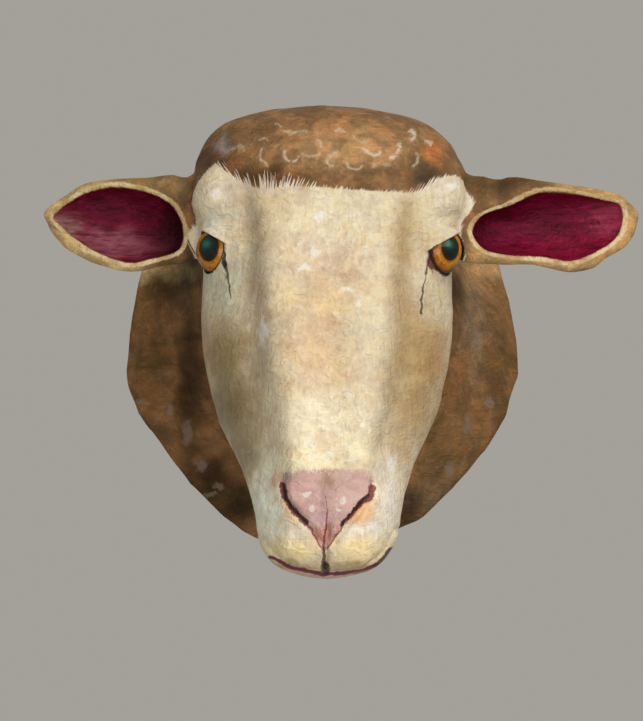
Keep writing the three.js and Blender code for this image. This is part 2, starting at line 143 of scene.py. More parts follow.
# The ears: side, number of points in a ring of the mesh, length, root, how far the tip sweeps back, and the
# edges of the ear and of its opening as shares of the length and of the height.
LEFT_EAR = {
    "side": -1,
    "points": 110,
    "length": 86.0,
    "root": np.array((-29.7, -49.3, 27.5)) * HUNDREDTH,
    "sweep": 0.2 * 86.0,
    "outer": np.array([
        (1.0, 0.13), (0.86, 0.3), (0.71, 0.435), (0.52, 0.485), (0.28, 0.5), (0.07, 0.53), (-0.17, 0.46),
        (-0.24, -0.05), (-0.14, -0.36), (0.15, -0.46), (0.36, -0.515), (0.6, -0.43), (0.79, -0.28),
        (0.94, -0.07),
    ]),
    "opening": np.array([
        (0.925, 0.09), (0.815, 0.235), (0.69, 0.34), (0.5, 0.4), (0.28, 0.35), (0.115, 0.235),
        (0.025, 0.06), (0.0, -0.16), (0.05, -0.31), (0.22, -0.385), (0.37, -0.425), (0.57, -0.33),
        (0.755, -0.16), (0.87, -0.01),
    ]),
}
RIGHT_EAR = {
    "side": 1,
    "points": 120,
    "length": 102.0,
    "root": np.array((32.2, -52.9, 27.2)) * HUNDREDTH,
    "sweep": 0.245 * 102.0,
    "outer": np.array([
        (1.0, 0.09), (0.96, 0.22), (0.86, 0.34), (0.64, 0.42), (0.39, 0.48), (0.16, 0.51), (-0.1, 0.52),
        (-0.25, 0.1), (-0.14, -0.35), (0.14, -0.43), (0.35, -0.43), (0.57, -0.51), (0.75, -0.41),
        (0.91, -0.22),
    ]),
    "opening": np.array([
        (0.9, 0.07), (0.88, 0.23), (0.765, 0.28), (0.59, 0.335), (0.4, 0.34), (0.215, 0.195), (0.06, 0.09),
        (0.0, -0.09), (0.07, -0.28), (0.225, -0.34), (0.4, -0.355), (0.56, -0.395), (0.705, -0.31),
        (0.85, -0.14),
    ]),
}
CUP_MIDDLE = np.array((0.42, 0.0))
BOWL_POWER = 0.6
TIP_DEPTH = 0.3
RIM_ROUND = 1.4

# Fineness of the meshes.
HEAD_ROWS, HEAD_COLUMNS = 250, 276
NECK_COLUMNS, NECK_STEPS = 210, 11
BOWL_RINGS, RIM_RINGS = 18, 6
SOCKET_ROWS, SOCKET_COLUMNS = 40, 64
EYE_ROWS, EYE_COLUMNS = 48, 72
LID_RINGS, LID_COLUMNS = 24, 72

# Where skins were joined, they are smoothed over this reach, in this many rounds, each of which moves a point
# this share of the way. Nothing moves this near the wall.
JOIN_REACH = 13.0
JOIN_ROUNDS = 14
JOIN_SHARE = 0.7
JOIN_WALL_MARGIN = 4.0

# The paper's relief: height and size of its wide lumps, of the ridges where sheets overlap, and of its
# small lumps.
WIDE_LUMPS = (0.5, 28.0)
OVERLAPS = (0.8, 34.0)
SMALL_LUMPS = (0.25, 10.0)
# Distances from the wall, and from the middle of an eye, where the relief starts and where it is whole.
RELIEF_FROM_WALL = (2, 14)
RELIEF_FROM_EYE = (17, 25)


# Curves.
def curve_weights(knots, t, flat_ends=False):
    """The weight of each knot's value at t: cubic pieces, each knot's slope running from the knot before to
    the knot after. Flat ends have no slope."""
    n = len(knots)
    slope = np.zeros((n, n))
    for i in range(n):
        if flat_ends and i in (0, n - 1):
            continue
        a, b = max(i - 1, 0), min(i + 1, n - 1)
        slope[i, b] += 1 / (knots[b] - knots[a])
        slope[i, a] -= 1 / (knots[b] - knots[a])
    t = np.clip(t, knots[0], knots[-1])
    i = np.clip(np.searchsorted(knots, t, side="right") - 1, 0, n - 2)
    span = knots[i + 1] - knots[i]
    u = (t - knots[i]) / span
    here, there = np.eye(n)[i], np.eye(n)[i + 1]
    u, span = u[..., None], span[..., None]
    return (
        (2 * u**3 - 3 * u**2 + 1) * here
        + (u**3 - 2 * u**2 + u) * span * slope[i]
        + (3 * u**2 - 2 * u**3) * there
        + (u**3 - u**2) * span * slope[i + 1]
    )


def loop_through(points, share, eased=1.0):
    """A closed curve at shares of the way round: straight from point to point, moved by eased towards a
    smooth cubic through the points."""
    n = len(points)
    place = np.mod(share, 1) * n
    i = np.floor(place).astype(int) % n
    u = (place - np.floor(place))[..., None]
    p, a, b, q = (points[(i + k) % n] for k in (-1, 0, 1, 2))
    straight = a + (b - a) * u
    smooth = a + 0.5 * u * (b - p + u * (2 * p - 5 * a + 4 * b - q + u * (3 * (a - b) + q - p)))
    return straight + (smooth - straight) * eased


def distance_to_line(x, z, line):
    """The shortest distance in x and z to a line of straight stretches."""
    nearest = np.full(np.shape(x), np.inf)
    for (ax, az), (bx, bz) in zip(line, line[1:]):
        dx, dz = bx - ax, bz - az
        t = np.clip(((x - ax) * dx + (z - az) * dz) / (dx * dx + dz * dz), 0, 1)
        nearest = np.minimum(nearest, np.hypot(x - ax - t * dx, z - az - t * dz))
    return nearest


def smooth_step(value, low, high):
    """0 below low, 1 above high, and an even S between."""
    t = np.clip((value - low) / (high - low), 0, 1)
    return t * t * (3 - 2 * t)


def lumps(points, size, seed):
    """Even random swellings between -1 and 1: a random height at each corner of cubes of this size, blended
    inside the cube by an S curve on each axis."""
    place = points / size
    corner = np.floor(place).astype(np.int64)
    u = place - corner
    u = u * u * u * (u * (u * 6 - 15) + 10)
    total = np.zeros(len(points))
    for step in np.ndindex(2, 2, 2):
        c = corner + np.array(step)
        h = c[:, 0] * 374761393 + c[:, 1] * 668265263 + c[:, 2] * 1442695041 + seed * 974634777
        h = h & 0xFFFFFFFF
        h = ((h ^ (h >> 13)) * 1274126177) & 0xFFFFFFFF
        h = (h ^ (h >> 16)) & 0xFFFF
        weight = np.where(np.array(step) == 1, u, 1 - u).prod(axis=1)
        total += weight * (h / 32767.5 - 1)
    return total


# Shapes.
def section_knots():
    """Distance along the side of the head from crown to chin, as a share of the whole."""
    z, front, half = SECTIONS[:, 0], SECTIONS[:, 1], SECTIONS[:, 3]
    steps = np.sqrt(np.diff(z) ** 2 + np.diff(half) ** 2 + (np.diff(front) / 2) ** 2)
    travelled = np.concatenate(([0], np.cumsum(steps)))
    return travelled / travelled[-1]


KNOTS = section_knots()


def plain_head(down, turn):
    """The head before its features, in hundredths. down runs 0 to 1 from crown to chin and picks a level
    section; turn runs -1 to 1 round it from the back, by the left side and the front, to the back again.
    The section is a cubic curve through its front, the flat front's edge, its widest point and its rear
    corner."""
    weights = curve_weights(KNOTS, down)
    front, back, half, bridge, fall, widest, lean = (weights @ SECTIONS[:, k] for k in range(1, 8))
    z = curve_weights(KNOTS, down, True) @ SECTIONS[:, 0]
    depth, half = np.maximum(back - front, 0), np.maximum(half, 0)
    side = curve_weights(ROUND_KNOTS, np.abs(turn))
    rear = curve_weights(ROUND_KNOTS, np.abs(turn), True)
    across = side[..., 1] * bridge + side[..., 2] + side[..., 3] * REAR_WIDTH
    behind = rear[..., 1] * fall + rear[..., 2] * widest + rear[..., 3] * REAR_CORNER + rear[..., 4]
    return np.stack((np.sign(turn) * half * across, front + depth * behind, z), -1), lean


def feature_lift(p):
    """How far the features push each point out: bell-shaped swellings at their places, less bell-shaped
    grooves along their lines, in hundredths."""
    x, y, z = np.abs(p[..., 0]), p[..., 1], p[..., 2]
    lift = np.zeros(x.shape)
    for at, reach, height in FORMS.values():
        away = sum(((v - a) / r) ** 2 for v, a, r in zip((x, y, z), at, reach))
        lift += height * np.exp(-away)
    face = smooth_step(-y, 43, 47)
    lift -= face * VALLEY_DEPTH * np.exp(-((distance_to_line(x, z, VALLEY) / VALLEY_REACH) ** 2))
    from_eye = np.stack((x, y, z), -1) - EYE_AT
    along = from_eye @ GAZE
    off = np.sqrt(np.maximum((from_eye**2).sum(-1) - along**2, 0))
    lift += np.where(along > 0, LID_LIFT * np.exp(-(((off - LID_RING) / LID_REACH) ** 2)), 0)
    hair_x, hair_z = np.array(HAIRLINE, float).T
    hair = curve_weights(hair_x, p[..., 0]) @ hair_z
    lift += np.where(z > 25, WOOL_LIFT / (1 + np.exp(-(z - hair) / WOOL_EDGE)), 0)
    front = smooth_step(-y, 60, 64)
    for grooves, across in ((PAIRED_GROOVES, x), (SINGLE_GROOVES, p[..., 0])):
        for line, depth, half in grooves:
            away = distance_to_line(across, z, line)
            lift -= front * depth * np.exp(-((away / half) ** 2))
    return lift


def head_surface(rows, columns):
    """The head with its features, as a grid of points in millimetres, each moved along its own normal by
    its lift. Rows and columns lie closer on the face than behind."""
    row = np.arange(1, rows) / rows
    down = row - 0.045 * np.sin(2 * math.pi * row)
    s = 2 * np.arange(columns) / columns - 1
    turn = np.sign(s) * np.abs(s) ** 1.2
    down, turn = np.meshgrid(down, turn, indexing="ij")
    step = 1e-3
    near = np.clip(down, step, 1 - step)
    along = plain_head(near + step, turn)[0] - plain_head(near - step, turn)[0]
    around = plain_head(near, turn + step)[0] - plain_head(near, turn - step)[0]
    normal = np.cross(along, around)
    normal /= np.linalg.norm(normal, axis=-1, keepdims=True)
    p, lean = plain_head(down, turn)
    p = p + normal * feature_lift(p)[..., None]
    p[..., 0] += lean
    return p * HUNDREDTH + np.array((FACE_OFFSET, 0, 0))


def neck_surface(columns, steps):
    """The collar and the neck: rings of the collar's faceted outline that turn to ovals as they leave the
    wall, with cubic curves through the rings' sizes."""
    outline = loop_through(COLLAR_CORNERS, np.arange(columns) / columns, CORNER_ROUNDING)
    angle = np.arctan2(outline[:, 1], outline[:, 0])
    oval = np.stack((np.cos(angle), np.sin(angle)), -1)
    half = np.array((COLLAR_WIDTH / 2, COLLAR_HEIGHT / 2))
    rings = [(0, half - COLLAR_UNDERCUT, 0, 1.0), (-COLLAR_EDGE, half, 0, 1.0)]
    last = NECK_RINGS[-1][0] * HUNDREDTH
    for y, z, wide, tall, facets in NECK_RINGS:
        rings.append((y * HUNDREDTH, np.array((wide, tall)) * HUNDREDTH, z * HUNDREDTH, facets))
    points = []
    for k, (first, second) in enumerate(zip(rings, rings[1:])):
        for u in np.linspace(0, 1, steps, endpoint=k == len(rings) - 2):
            y, size, z, facets = (a + (b - a) * u for a, b in zip(first, second))
            shape = (outline * facets + oval * (1 - facets)) * size
            shift = FACE_OFFSET * max(y, last) / last
            points.append(np.stack((shape[:, 0] + shift, np.full(columns, y), shape[:, 1] + z), -1))
    return np.array(points)


def ear_depth(along):
    """Depth of the cup along the ear, falling to a share of itself at the tip."""
    return EAR_DEPTH * (1 - (1 - TIP_DEPTH) * np.clip(along, 0, 1) ** 1.5)


def ear_surface(ear):
    """An ear as rings: from the bottom of the cup out to the opening's edge, over the rim, and back to the
    middle of the shell behind. Cup and shell are bowls: 1 less the share of the way out squared, to the
    bowls' power, times the depth."""
    way = np.arange(ear["points"]) / ear["points"]
    outer, opening = loop_through(ear["outer"], way), loop_through(ear["opening"], way)

    def place(edge, y):
        along, up = edge[:, 0], edge[:, 1]
        back = y + ear["sweep"] * np.clip(along, 0, 1) ** 2 + EAR_TILT * up * EAR_HEIGHT
        return np.stack((ear["side"] * along * ear["length"], back, up * EAR_HEIGHT), -1) + ear["root"]

    def bowl(edge, share, thick):
        near = CUP_MIDDLE + (edge - CUP_MIDDLE) * share
        return place(near, thick + ear_depth(near[:, 0]) * (1 - share**2) ** BOWL_POWER)

    shares = 1 - (1 - np.linspace(0.04, 1, BOWL_RINGS)) ** 1.5
    rings = [bowl(opening, share, 0) for share in shares]
    for u in np.linspace(0, 1, RIM_RINGS + 1)[1:]:
        lift = -RIM_ROUND * math.sin(math.pi * u) + RIM_ROUND * u * u
        rings.append(place(opening + (outer - opening) * u, lift))
    for share in shares[::-1][1:]:
        thick = RIM_ROUND + (EAR_WALL - RIM_ROUND) * (1 - share) ** 0.3
        rings.append(bowl(outer, share, thick))
    return np.array(rings)


def eye_middle(side, shift):
    """The middle of an eyeball: the eye's place in hundredths, with the head's lean at that level."""
    out, y, z = EYE_AT + shift
    level = np.linspace(0, 1, 400)
    fall = -(curve_weights(KNOTS, level, True) @ SECTIONS[:, 0])
    lean = np.interp(-z, fall, curve_weights(KNOTS, level) @ SECTIONS[:, 7])
    return np.array((lean + side * out, y, z)) * HUNDREDTH + np.array((FACE_OFFSET, 0, 0))


def ball_surface(radius, middle, rows, columns):
    """A ball: rings round the y axis, radius times the sine of the angle from it."""
    down, turn = np.meshgrid(
        math.pi * np.arange(1, rows) / rows, 2 * math.pi * np.arange(columns) / columns, indexing="ij")
    way = np.stack((np.sin(down) * np.cos(turn), -np.cos(down), np.sin(down) * np.sin(turn)), -1)
    return middle + radius * way


def lid_surface(middle, side, half_angle):
    """An upper lid: a cap of a ball a little larger than the eye, closed by a cone inside, round the line
    to the eye's inner top."""
    axis = np.array((-0.5 * side, 0, 0.86))
    axis /= np.linalg.norm(axis)
    across = np.cross(axis, (0, 1, 0))
    angle = np.radians(half_angle) * np.linspace(0.04, 1, LID_RINGS)
    radius = EYE_RADIUS + EYE_GAP + LID_THICKNESS
    reach = np.concatenate((radius * np.sin(angle), [0.5 * radius * np.sin(angle[-1]), 0.02]))
    height = np.concatenate((radius * np.cos(angle), [0.5 * radius * np.cos(angle[-1]), 0.1 * radius]))
    turn = 2 * math.pi * np.arange(LID_COLUMNS) / LID_COLUMNS
    ring = np.cos(turn)[:, None] * across + np.sin(turn)[:, None] * np.cross(axis, across)
    return middle + reach[:, None, None] * ring + height[:, None, None] * axis


# Meshes.
def skin(rings):
    """Points and faces of a closed skin over rings of points: squares between neighbouring rings, and a fan
    to its middle on the first and the last."""
    count, columns = rings.shape[:2]
    points = rings.reshape(-1, 3)
    i, j = np.meshgrid(np.arange(count - 1), np.arange(columns), indexing="ij")
    a, b = i * columns + j, i * columns + (j + 1) % columns
    squares = np.stack((a, b, b + columns, a + columns), -1).reshape(-1, 4)
    ends = np.stack((rings[0].mean(0), rings[-1].mean(0)))
    j = np.arange(columns)
    first = np.stack(((j + 1) % columns, j, np.full(columns, len(points))), -1)
    start = (count - 1) * columns
    last = np.stack((start + j, start + (j + 1) % columns, np.full(columns, len(points) + 1)), -1)
    return np.concatenate((points, ends)), squares, np.concatenate((first, last))


def make_mesh(name, rings):
    """An object of a closed skin over rings of points in millimetres, its faces turned outwards."""
    points, squares, fans = skin(rings)
    triangles = np.concatenate((squares[:, :3], squares[:, (0, 2, 3)], fans))
    a, b, c = (points[triangles[:, k]] for k in range(3))
    if (a * np.cross(b, c)).sum() < 0:
        squares, fans = squares[:, ::-1], fans[:, ::-1]
    mesh = bpy.data.meshes.new(name)
    mesh.from_pydata((points * MM).tolist(), [], squares.tolist() + fans.tolist())
    mesh.update()
    thing = bpy.data.objects.new(name, mesh)
    bpy.context.scene.collection.objects.link(thing)
    return thing


def join(base, others, cut):
    """base with the others added to it, and the cut ones taken out of it."""
    for other, operation in [(o, "UNION") for o in others] + [(o, "DIFFERENCE") for o in cut]:
        step = base.modifiers.new(other.name, "BOOLEAN")
        step.operation = operation
        step.solver = "MANIFOLD"
        step.object = other
    graph = bpy.context.evaluated_depsgraph_get()
    mesh = bpy.data.meshes.new_from_object(base.evaluated_get(graph))
    base.modifiers.clear()
    base.data = mesh
    for other in others + cut:
        bpy.data.objects.remove(other)


def read_points(mesh):
    flat = np.empty(len(mesh.vertices) * 3, np.float32)
    mesh.vertices.foreach_get("co", flat)
    return flat.reshape(-1, 3).astype(float) / MM


def read_edges(mesh):
    flat = np.empty(len(mesh.edges) * 2, np.int32)
    mesh.edges.foreach_get("vertices", flat)
    return flat.reshape(-1, 2)


def read_normals(mesh):
    flat = np.empty(len(mesh.vertices) * 3, np.float32)
    mesh.vertex_normals.foreach_get("vector", flat)
    return flat.reshape(-1, 3).astype(float)


def write_points(mesh, points):
    mesh.vertices.foreach_set("co", (points * MM).astype(np.float32).ravel())
    mesh.update()


def neighbour_mean(values, edges, count):
    """The mean of each point's neighbours over the mesh's edges."""
    total = np.zeros((count, values.shape[1]))
    number = np.zeros(count)
    for a, b in ((0, 1), (1, 0)):
        np.add.at(total, edges[:, a], values[edges[:, b]])
        np.add.at(number, edges[:, a], 1)
    return total / np.maximum(number, 1)[:, None]


def place_keys(points):
    """One whole number for each point, the same for points within a fiftieth of a millimetre."""
    return np.round(points * 50).astype(np.int64) @ np.array((1, 100003, 10000600009))


def ease_joins(mesh, own_points):
    """Smooths the surface near the lines where two skins were joined. The new points of those lines are
    the ones that no skin had; distance from them is carried along the edges, and each round moves a point
    towards its neighbours' mean by a weight that falls to nothing at the reach. Points at the wall stay."""
    points, edges = read_points(mesh), read_edges(mesh)
    away = np.where(np.isin(place_keys(points), place_keys(own_points)), np.inf, 0.0)
    length = np.linalg.norm(points[edges[:, 0]] - points[edges[:, 1]], axis=1)
    edges_crossed = 24
    for _ in range(edges_crossed):
        for a, b in ((0, 1), (1, 0)):
            np.minimum.at(away, edges[:, a], away[edges[:, b]] + length)
    weight = JOIN_SHARE * (1 - smooth_step(away, 0, JOIN_REACH))[:, None]
    weight[points[:, 1] > -JOIN_WALL_MARGIN] = 0
    for _ in range(JOIN_ROUNDS):
        points += weight * (neighbour_mean(points, edges, len(points)) - points)
    write_points(mesh, points)


def give(mesh, name, values):
    """Stores one number, or one colour, for each point of the mesh."""
    kind = "FLOAT" if values.ndim == 1 else "FLOAT_COLOR"
    layer = mesh.attributes.new(name, kind, "POINT")
    if values.ndim == 1:
        layer.data.foreach_set("value", values.astype(np.float32))
    else:
        rgba = np.ones((len(values), 4), np.float32)
        rgba[:, :3] = values
        layer.data.foreach_set("color", rgba.ravel())


# Relief.
def pasted_paper(points):
    """How far the pasted paper stands out, in millimetres: wide lumps, ridges where sheets overlap (one
    less the size of a slow noise, to the fourth power) and small lumps."""
    relief = np.zeros(len(points))
    for (height, size), seed in ((WIDE_LUMPS, 1), (SMALL_LUMPS, 2)):
        relief += height * lumps(points, size, seed)
    height, size = OVERLAPS
    ridges = 1 - np.abs(lumps(points, size, 5))
    return relief + height * (ridges**4 - 0.2)


def add_relief(mesh, low, high):
    """Moves each point along its normal by the paper's relief, which fades out at the wall and at the eyes,
    and keeps every point inside the solids' box."""
    points, normals = read_points(mesh), read_normals(mesh)
    strength = smooth_step(-points[:, 1], *RELIEF_FROM_WALL)
    for middle in EYE_MIDDLES.values():
        strength = strength * smooth_step(np.linalg.norm(points - middle, axis=1), *RELIEF_FROM_EYE)
    points += normals * (strength * pasted_paper(points))[:, None]
    write_points(mesh, np.clip(points, np.array(low) / MM, np.array(high) / MM))


# Paint. Places on the front are across and up in millimetres, as seen from the eye point on an upright
# plane at this depth.
EYE_POINT = (0.0, -1400.0, -5.6)
SEEN_PLANE = -165.0
# What is stored for points nowhere near a zone.
FAR_OUTSIDE = -60.0
# How far the cup's paint may reach in front of the opening, and past the root as a share of the length.
CUP_PAINT_FORWARD = 12.0
CUP_PAINT_BACK = 0.12
# The hairline over the forehead, from the viewer's left.
SEEN_HAIRLINE = (
    (-79, 104), (-72.8, 109.5), (-63, 110), (-58.3, 106), (-52.5, 102), (-44.4, 96.8), (-38, 94.5),
    (-28.7, 93.3), (-20, 95.6), (-4, 95), (17.7, 93.3), (39.7, 92.1), (51.3, 91.5), (56.5, 92.1),
    (62.3, 95.6), (66.4, 99.1), (73.4, 101.4), (77.4, 101.4), (82.1, 99.1), (87.3, 93.3),
)
# Where the cream coat ends on the sides of the head: level, and distance in front of the wall.
SIDE_EDGE = (
    (-140, 112), (-60, 110), (-30, 92), (0, 92), (30, 100), (48, 118), (58, 134), (80, 141), (105, 146),
    (115, 150),
)
# Where the cream coat meets the ears: level, and place across on the left and on the right.
LEFT_EDGE = ((30, -73), (56, -72.8), (62, -75.5), (68, -77.5), (104, -77.5))
RIGHT_EDGE = ((40, 84), (68, 80.5), (76, 81), (80, 85.6), (86, 88.5), (94, 85), (99, 82), (104, 79))
# The outline of the pink nose, and the depth that it stays in front of.
NOSE_FRONT = -215.0
NOSE_PAD = (
    (-23.5, -70.6), (-12.5, -69.1), (0.3, -68.5), (13.6, -68.5), (28.1, -69.7), (30.4, -73.7),
    (28.7, -81.9), (22.3, -88.8), (13, -99.3), (6.7, -110.3), (1.4, -117.2), (-5.5, -106.2),
    (-11.9, -97.5), (-19.4, -87.1), (-22.9, -78.4),
)
# The hollows that run down the face inside the eyes.
LEFT_VALLEY = (
    (-51.3, 91.5), (-43.8, 84.6), (-39.1, 78.8), (-35.7, 64.3), (-35.7, 31.2), (-32.8, 15), (-35.7, -14),
)
RIGHT_VALLEY = ((50.2, 85.2), (46.1, 45.7), (50.2, 12.7), (42.6, -26.8))

# How far noise moves the edges of patches, and the size of that noise.
PATCH_WANDER = 3.2
PATCH_UNEVENNESS = 9.0
# Soft patches of the coats, some of them painted shade and shadow: place, reach across and up, colour, share.
FACE_COAT = (222, 207, 178)
FACE_PATCHES_AND_SHADE = (
    (-2, 66, 32, 24, (234, 220, 192), 0.8),
    (5, 48, 26, 16, (220, 192, 164), 0.8),
    (5.5, 27, 14, 12, (236, 202, 152), 0.7),
    (-19, 31, 9, 10, (234, 208, 160), 0.6),
    (0, -6, 22, 28, (230, 200, 162), 0.8),
    (2, -42, 24, 20, (250, 234, 204), 0.9),
    (3.8, -61, 27, 8, (252, 242, 208), 0.95),
    (-64, 91, 10, 15, (240, 232, 208), 0.8),
    (-62, 73, 11, 6, (236, 230, 212), 0.8),
    (72, 89, 13, 16, (226, 214, 188), 0.8),
    (70, 74, 8, 6, (218, 210, 184), 0.7),
    (-58, 38, 13, 20, (214, 214, 194), 0.9),
    # Brownish paint on the viewer's left of the face, darkened further by painted shade, on this line and the
    # next.
    (-57, -2, 16, 22, (152, 128, 80), 0.9),
    (-52, -32, 15, 20, (134, 116, 82), 0.95),
    (-71, 6, 4, 24, (190, 146, 124), 0.6),
    (-44, -58, 11, 18, (150, 134, 104), 0.9),
    (66, 36, 10, 13, (206, 192, 164), 0.9),
    (60, -4, 17, 26, (178, 144, 94), 0.95),
    (56, -34, 14, 18, (180, 148, 102), 0.9),
    (46, -54, 10, 14, (190, 166, 128), 0.8),
    (-32, -88, 10, 24, (246, 250, 234), 1),
    (-22, -103, 12, 6, (246, 240, 222), 0.95),
    (36, -84, 10, 22, (246, 236, 222), 0.95),
    (24, -105, 13, 6, (246, 238, 222), 0.9),
    (-27, -74, 4, 5, (232, 194, 164), 0.8),
    (-17, -95, 5.5, 7, (234, 194, 152), 0.85),
    (23.5, -94, 9, 8, (238, 190, 142), 0.95),
    (-18, -114, 15, 8, (250, 230, 180), 0.95),
    (22, -116, 17, 8, (252, 230, 182), 0.95),
    (-18, -123.5, 18, 2.4, (172, 142, 92), 0.6),
    (22, -125, 18, 2.6, (160, 130, 86), 0.6),
    (2, -132, 28, 3.4, (224, 186, 172), 0.95),
)
# Grey-brown paint down the hollows beside the nose, deepened by painted shade on the viewer's left: line,
# reach, colour, share.
VALLEY_COATS_AND_SHADE = ((LEFT_VALLEY, 7, (180, 162, 138), 0.65), (RIGHT_VALLEY, 8, (182, 154, 108), 0.68))
WOOL_COAT = (138, 102, 66)
WOOL_PATCHES_AND_SHADOWS = (
    (15, 118, 36, 13, (182, 142, 100), 0.75),
    (-40, 120, 22, 8, (146, 112, 76), 0.6),
    (-62, 109, 14, 12, (80, 50, 24), 0.8),
    # Painted shade along the wool's edge above the forehead, on this line and the next.
    (-33, 101, 24, 5, (88, 60, 36), 0.85),
    (59, 101, 12, 8, (76, 60, 44), 0.9),
    (34, 103, 14, 6, (128, 94, 58), 0.7),
    (64, 114, 8, 6, (172, 106, 58), 0.7),
    (-57, 120, 4, 7, (150, 148, 152), 0.5),
    (-84, 92, 10, 22, (70, 50, 28), 0.85),
    # Painted shadow under the left ear, and on the neck beside the left cheek on the next line.
    (-77, 50, 7, 12, (24, 17, 9), 0.95),
    (-76, -12, 10, 54, (46, 31, 11), 0.85),
    (-98, 0, 11, 30, (104, 76, 44), 0.8),
    (-108, -20, 9, 50, (110, 82, 50), 0.6),
    (-92, 38, 12, 18, (76, 54, 26), 0.8),
    # Painted shadow of the head on the neck below the muzzle, on this line and the next three.
    (-62, -84, 26, 18, (64, 45, 22), 0.85),
    (-46, -90, 9, 12, (52, 38, 17), 0.85),
    (-63, -71, 10, 10, (50, 34, 14), 0.8),
    (52, -92, 10, 14, (58, 45, 30), 0.85),
    (-96, -56, 10, 16, (84, 62, 38), 0.7),
    # Painted shadow under the left ear, and under the right ear on the next line.
    (-86, 46, 16, 14, (40, 28, 12), 0.9),
    (80, 44, 9, 24, (46, 38, 24), 0.95),
    (89, 14, 9, 36, (146, 122, 96), 0.75),
    (106, -10, 14, 50, (114, 84, 54), 0.8),
    (66, -82, 10, 11, (120, 106, 90), 0.55),
    (78, -72, 22, 24, (116, 90, 60), 0.8),
    (-146, 74, 36, 34, (218, 188, 134), 0.9),
    (-98, 95, 20, 13, (140, 112, 74), 0.9),
    (-158, 68, 7, 11, (164, 134, 104), 0.8),
    (-116, 47, 34, 6, (224, 198, 152), 0.9),
    (-92, 52, 14, 10, (120, 92, 56), 0.9),
    (176, 76, 30, 38, (194, 156, 104), 0.9),
    (112, 100, 22, 9, (88, 64, 38), 0.9),
    (104, 96, 12, 4, (56, 38, 20), 0.8),
    (90, 96, 12, 12, (102, 74, 38), 0.9),
    (94, 50, 16, 10, (176, 140, 94), 0.85),
    (150, 100, 20, 8, (212, 168, 106), 0.9),
    (128, 50, 30, 8, (198, 164, 118), 0.9),
)
CUP_COAT = (104, 6, 38)
CUP_PATCHES_AND_SHADE = (
    # Painted shade deep in the left cup, at its root.
    (-82, 66, 16, 22, (36, 2, 12), 0.95),
    (-122, 62, 26, 9, (136, 74, 84), 0.8),
    (-152, 71, 10, 9, (150, 112, 104), 0.7),
    # Painted shade under the left cup's upper rim.
    (-118, 84, 26, 7, (92, 12, 36), 0.6),
    # Painted shade deep in the right cup at its root, and under its upper rim on the next line.
    (86, 68, 12, 24, (74, 0, 24), 0.9),
    (106, 84, 20, 8, (78, 2, 26), 0.7),
    (150, 60, 34, 7, (134, 14, 46), 0.7),
    (168, 78, 16, 10, (150, 46, 70), 0.7),
)
PAD_COAT = (206, 168, 156)
PAD_PATCHES = (
    (-20, -73, 6, 5, (156, 132, 134), 0.7),
    (-14, -81, 7, 6, (226, 180, 170), 0.6),
    (3, -74, 4.5, 7, (168, 134, 104), 0.85),
    (3, -90, 2.4, 13, (170, 130, 126), 0.6),
    (21, -77, 8, 6, (204, 164, 152), 0.6),
    (0, -97, 9, 4, (206, 176, 176), 0.6),
    (-2, -107, 6, 6, (208, 144, 120), 0.85),
    (6, -104, 4, 5, (196, 148, 124), 0.8),
)

# Noise is turned by this, so that its patches don't line up with x, y and z.
ASKEW = np.array(Euler((0.6, 0.5, 0.7)).to_matrix())
# Mottling of the coats: size of the patches on x, y and z, seed, light factor, dark factor, share.
FACE_MOTTLES = (
    ((16, 16, 16), 20, (0.95, 0.87, 0.82), (1, 1, 1), 0.8),
    ((8, 8, 4.5), 24, (1.06, 1.03, 0.9), (0.9, 0.87, 0.82), 0.75),
)
WOOL_MOTTLES = (
    ((10, 11, 8), 28, (1.22, 1.08, 0.92), (0.7, 0.68, 0.64), 0.75),
    ((14, 14, 14), 32, (0.84, 0.9, 0.8), (1, 1, 1), 0.7),
    ((7, 7, 4.5), 36, (1.28, 1.3, 1.34), (1, 1, 1), 0.65),
)
CUP_MOTTLES = (((9, 8, 4.5), 40, (1.3, 1.6, 1.5), (0.8, 0.7, 0.8), 0.6),)
PAD_MOTTLES = (((7, 8, 4), 44, (1.12, 1.16, 1.18), (0.86, 0.8, 0.84), 0.6),)
COATS = {
    "face_coat_and_shade": (FACE_COAT, FACE_PATCHES_AND_SHADE, FACE_MOTTLES),
    "wool_coat_and_shadows": (WOOL_COAT, WOOL_PATCHES_AND_SHADOWS, WOOL_MOTTLES),
    "cup_coat_and_shade": (CUP_COAT, CUP_PATCHES_AND_SHADE, CUP_MOTTLES),
    "pad_coat": (PAD_COAT, PAD_PATCHES, PAD_MOTTLES),
}


def linear(colour):
    """A colour of 0 to 255, as seen on a screen, as light."""
    c = np.array(colour) / 255
    return np.where(c < 0.04045, c / 12.92, ((c + 0.055) / 1.055) ** 2.4)


def seen(points):
    """Where each point is seen from the eye point, across and up on the seen plane."""
    share = (SEEN_PLANE - EYE_POINT[1]) / (points[:, 1] - EYE_POINT[1])
    return points[:, 0] * share, EYE_POINT[2] + (points[:, 2] - EYE_POINT[2]) * share


def coat(points, base, patches):
    """A coat's colour at each point: the base with each patch laid over the ones before it. A patch fades
    as e to the power of minus its squared distance to the power 1.6, with distance as a share of its reach.
    The point's place is moved about by slow noise, which makes the patch's edge uneven."""
    u, v = seen(points)
    u = u + PATCH_WANDER * lumps(points, PATCH_UNEVENNESS, 11)
    v = v + PATCH_WANDER * lumps(points, PATCH_UNEVENNESS, 12)
    colour = np.tile(linear(base), (len(points), 1))
    for at_u, at_v, reach_u, reach_v, patch, share in patches:
        away = ((u - at_u) / reach_u) ** 2 + ((v - at_v) / reach_v) ** 2
        weight = share * np.exp(-(away**1.6))[:, None]
        colour += weight * (linear(patch) - colour)
    return colour


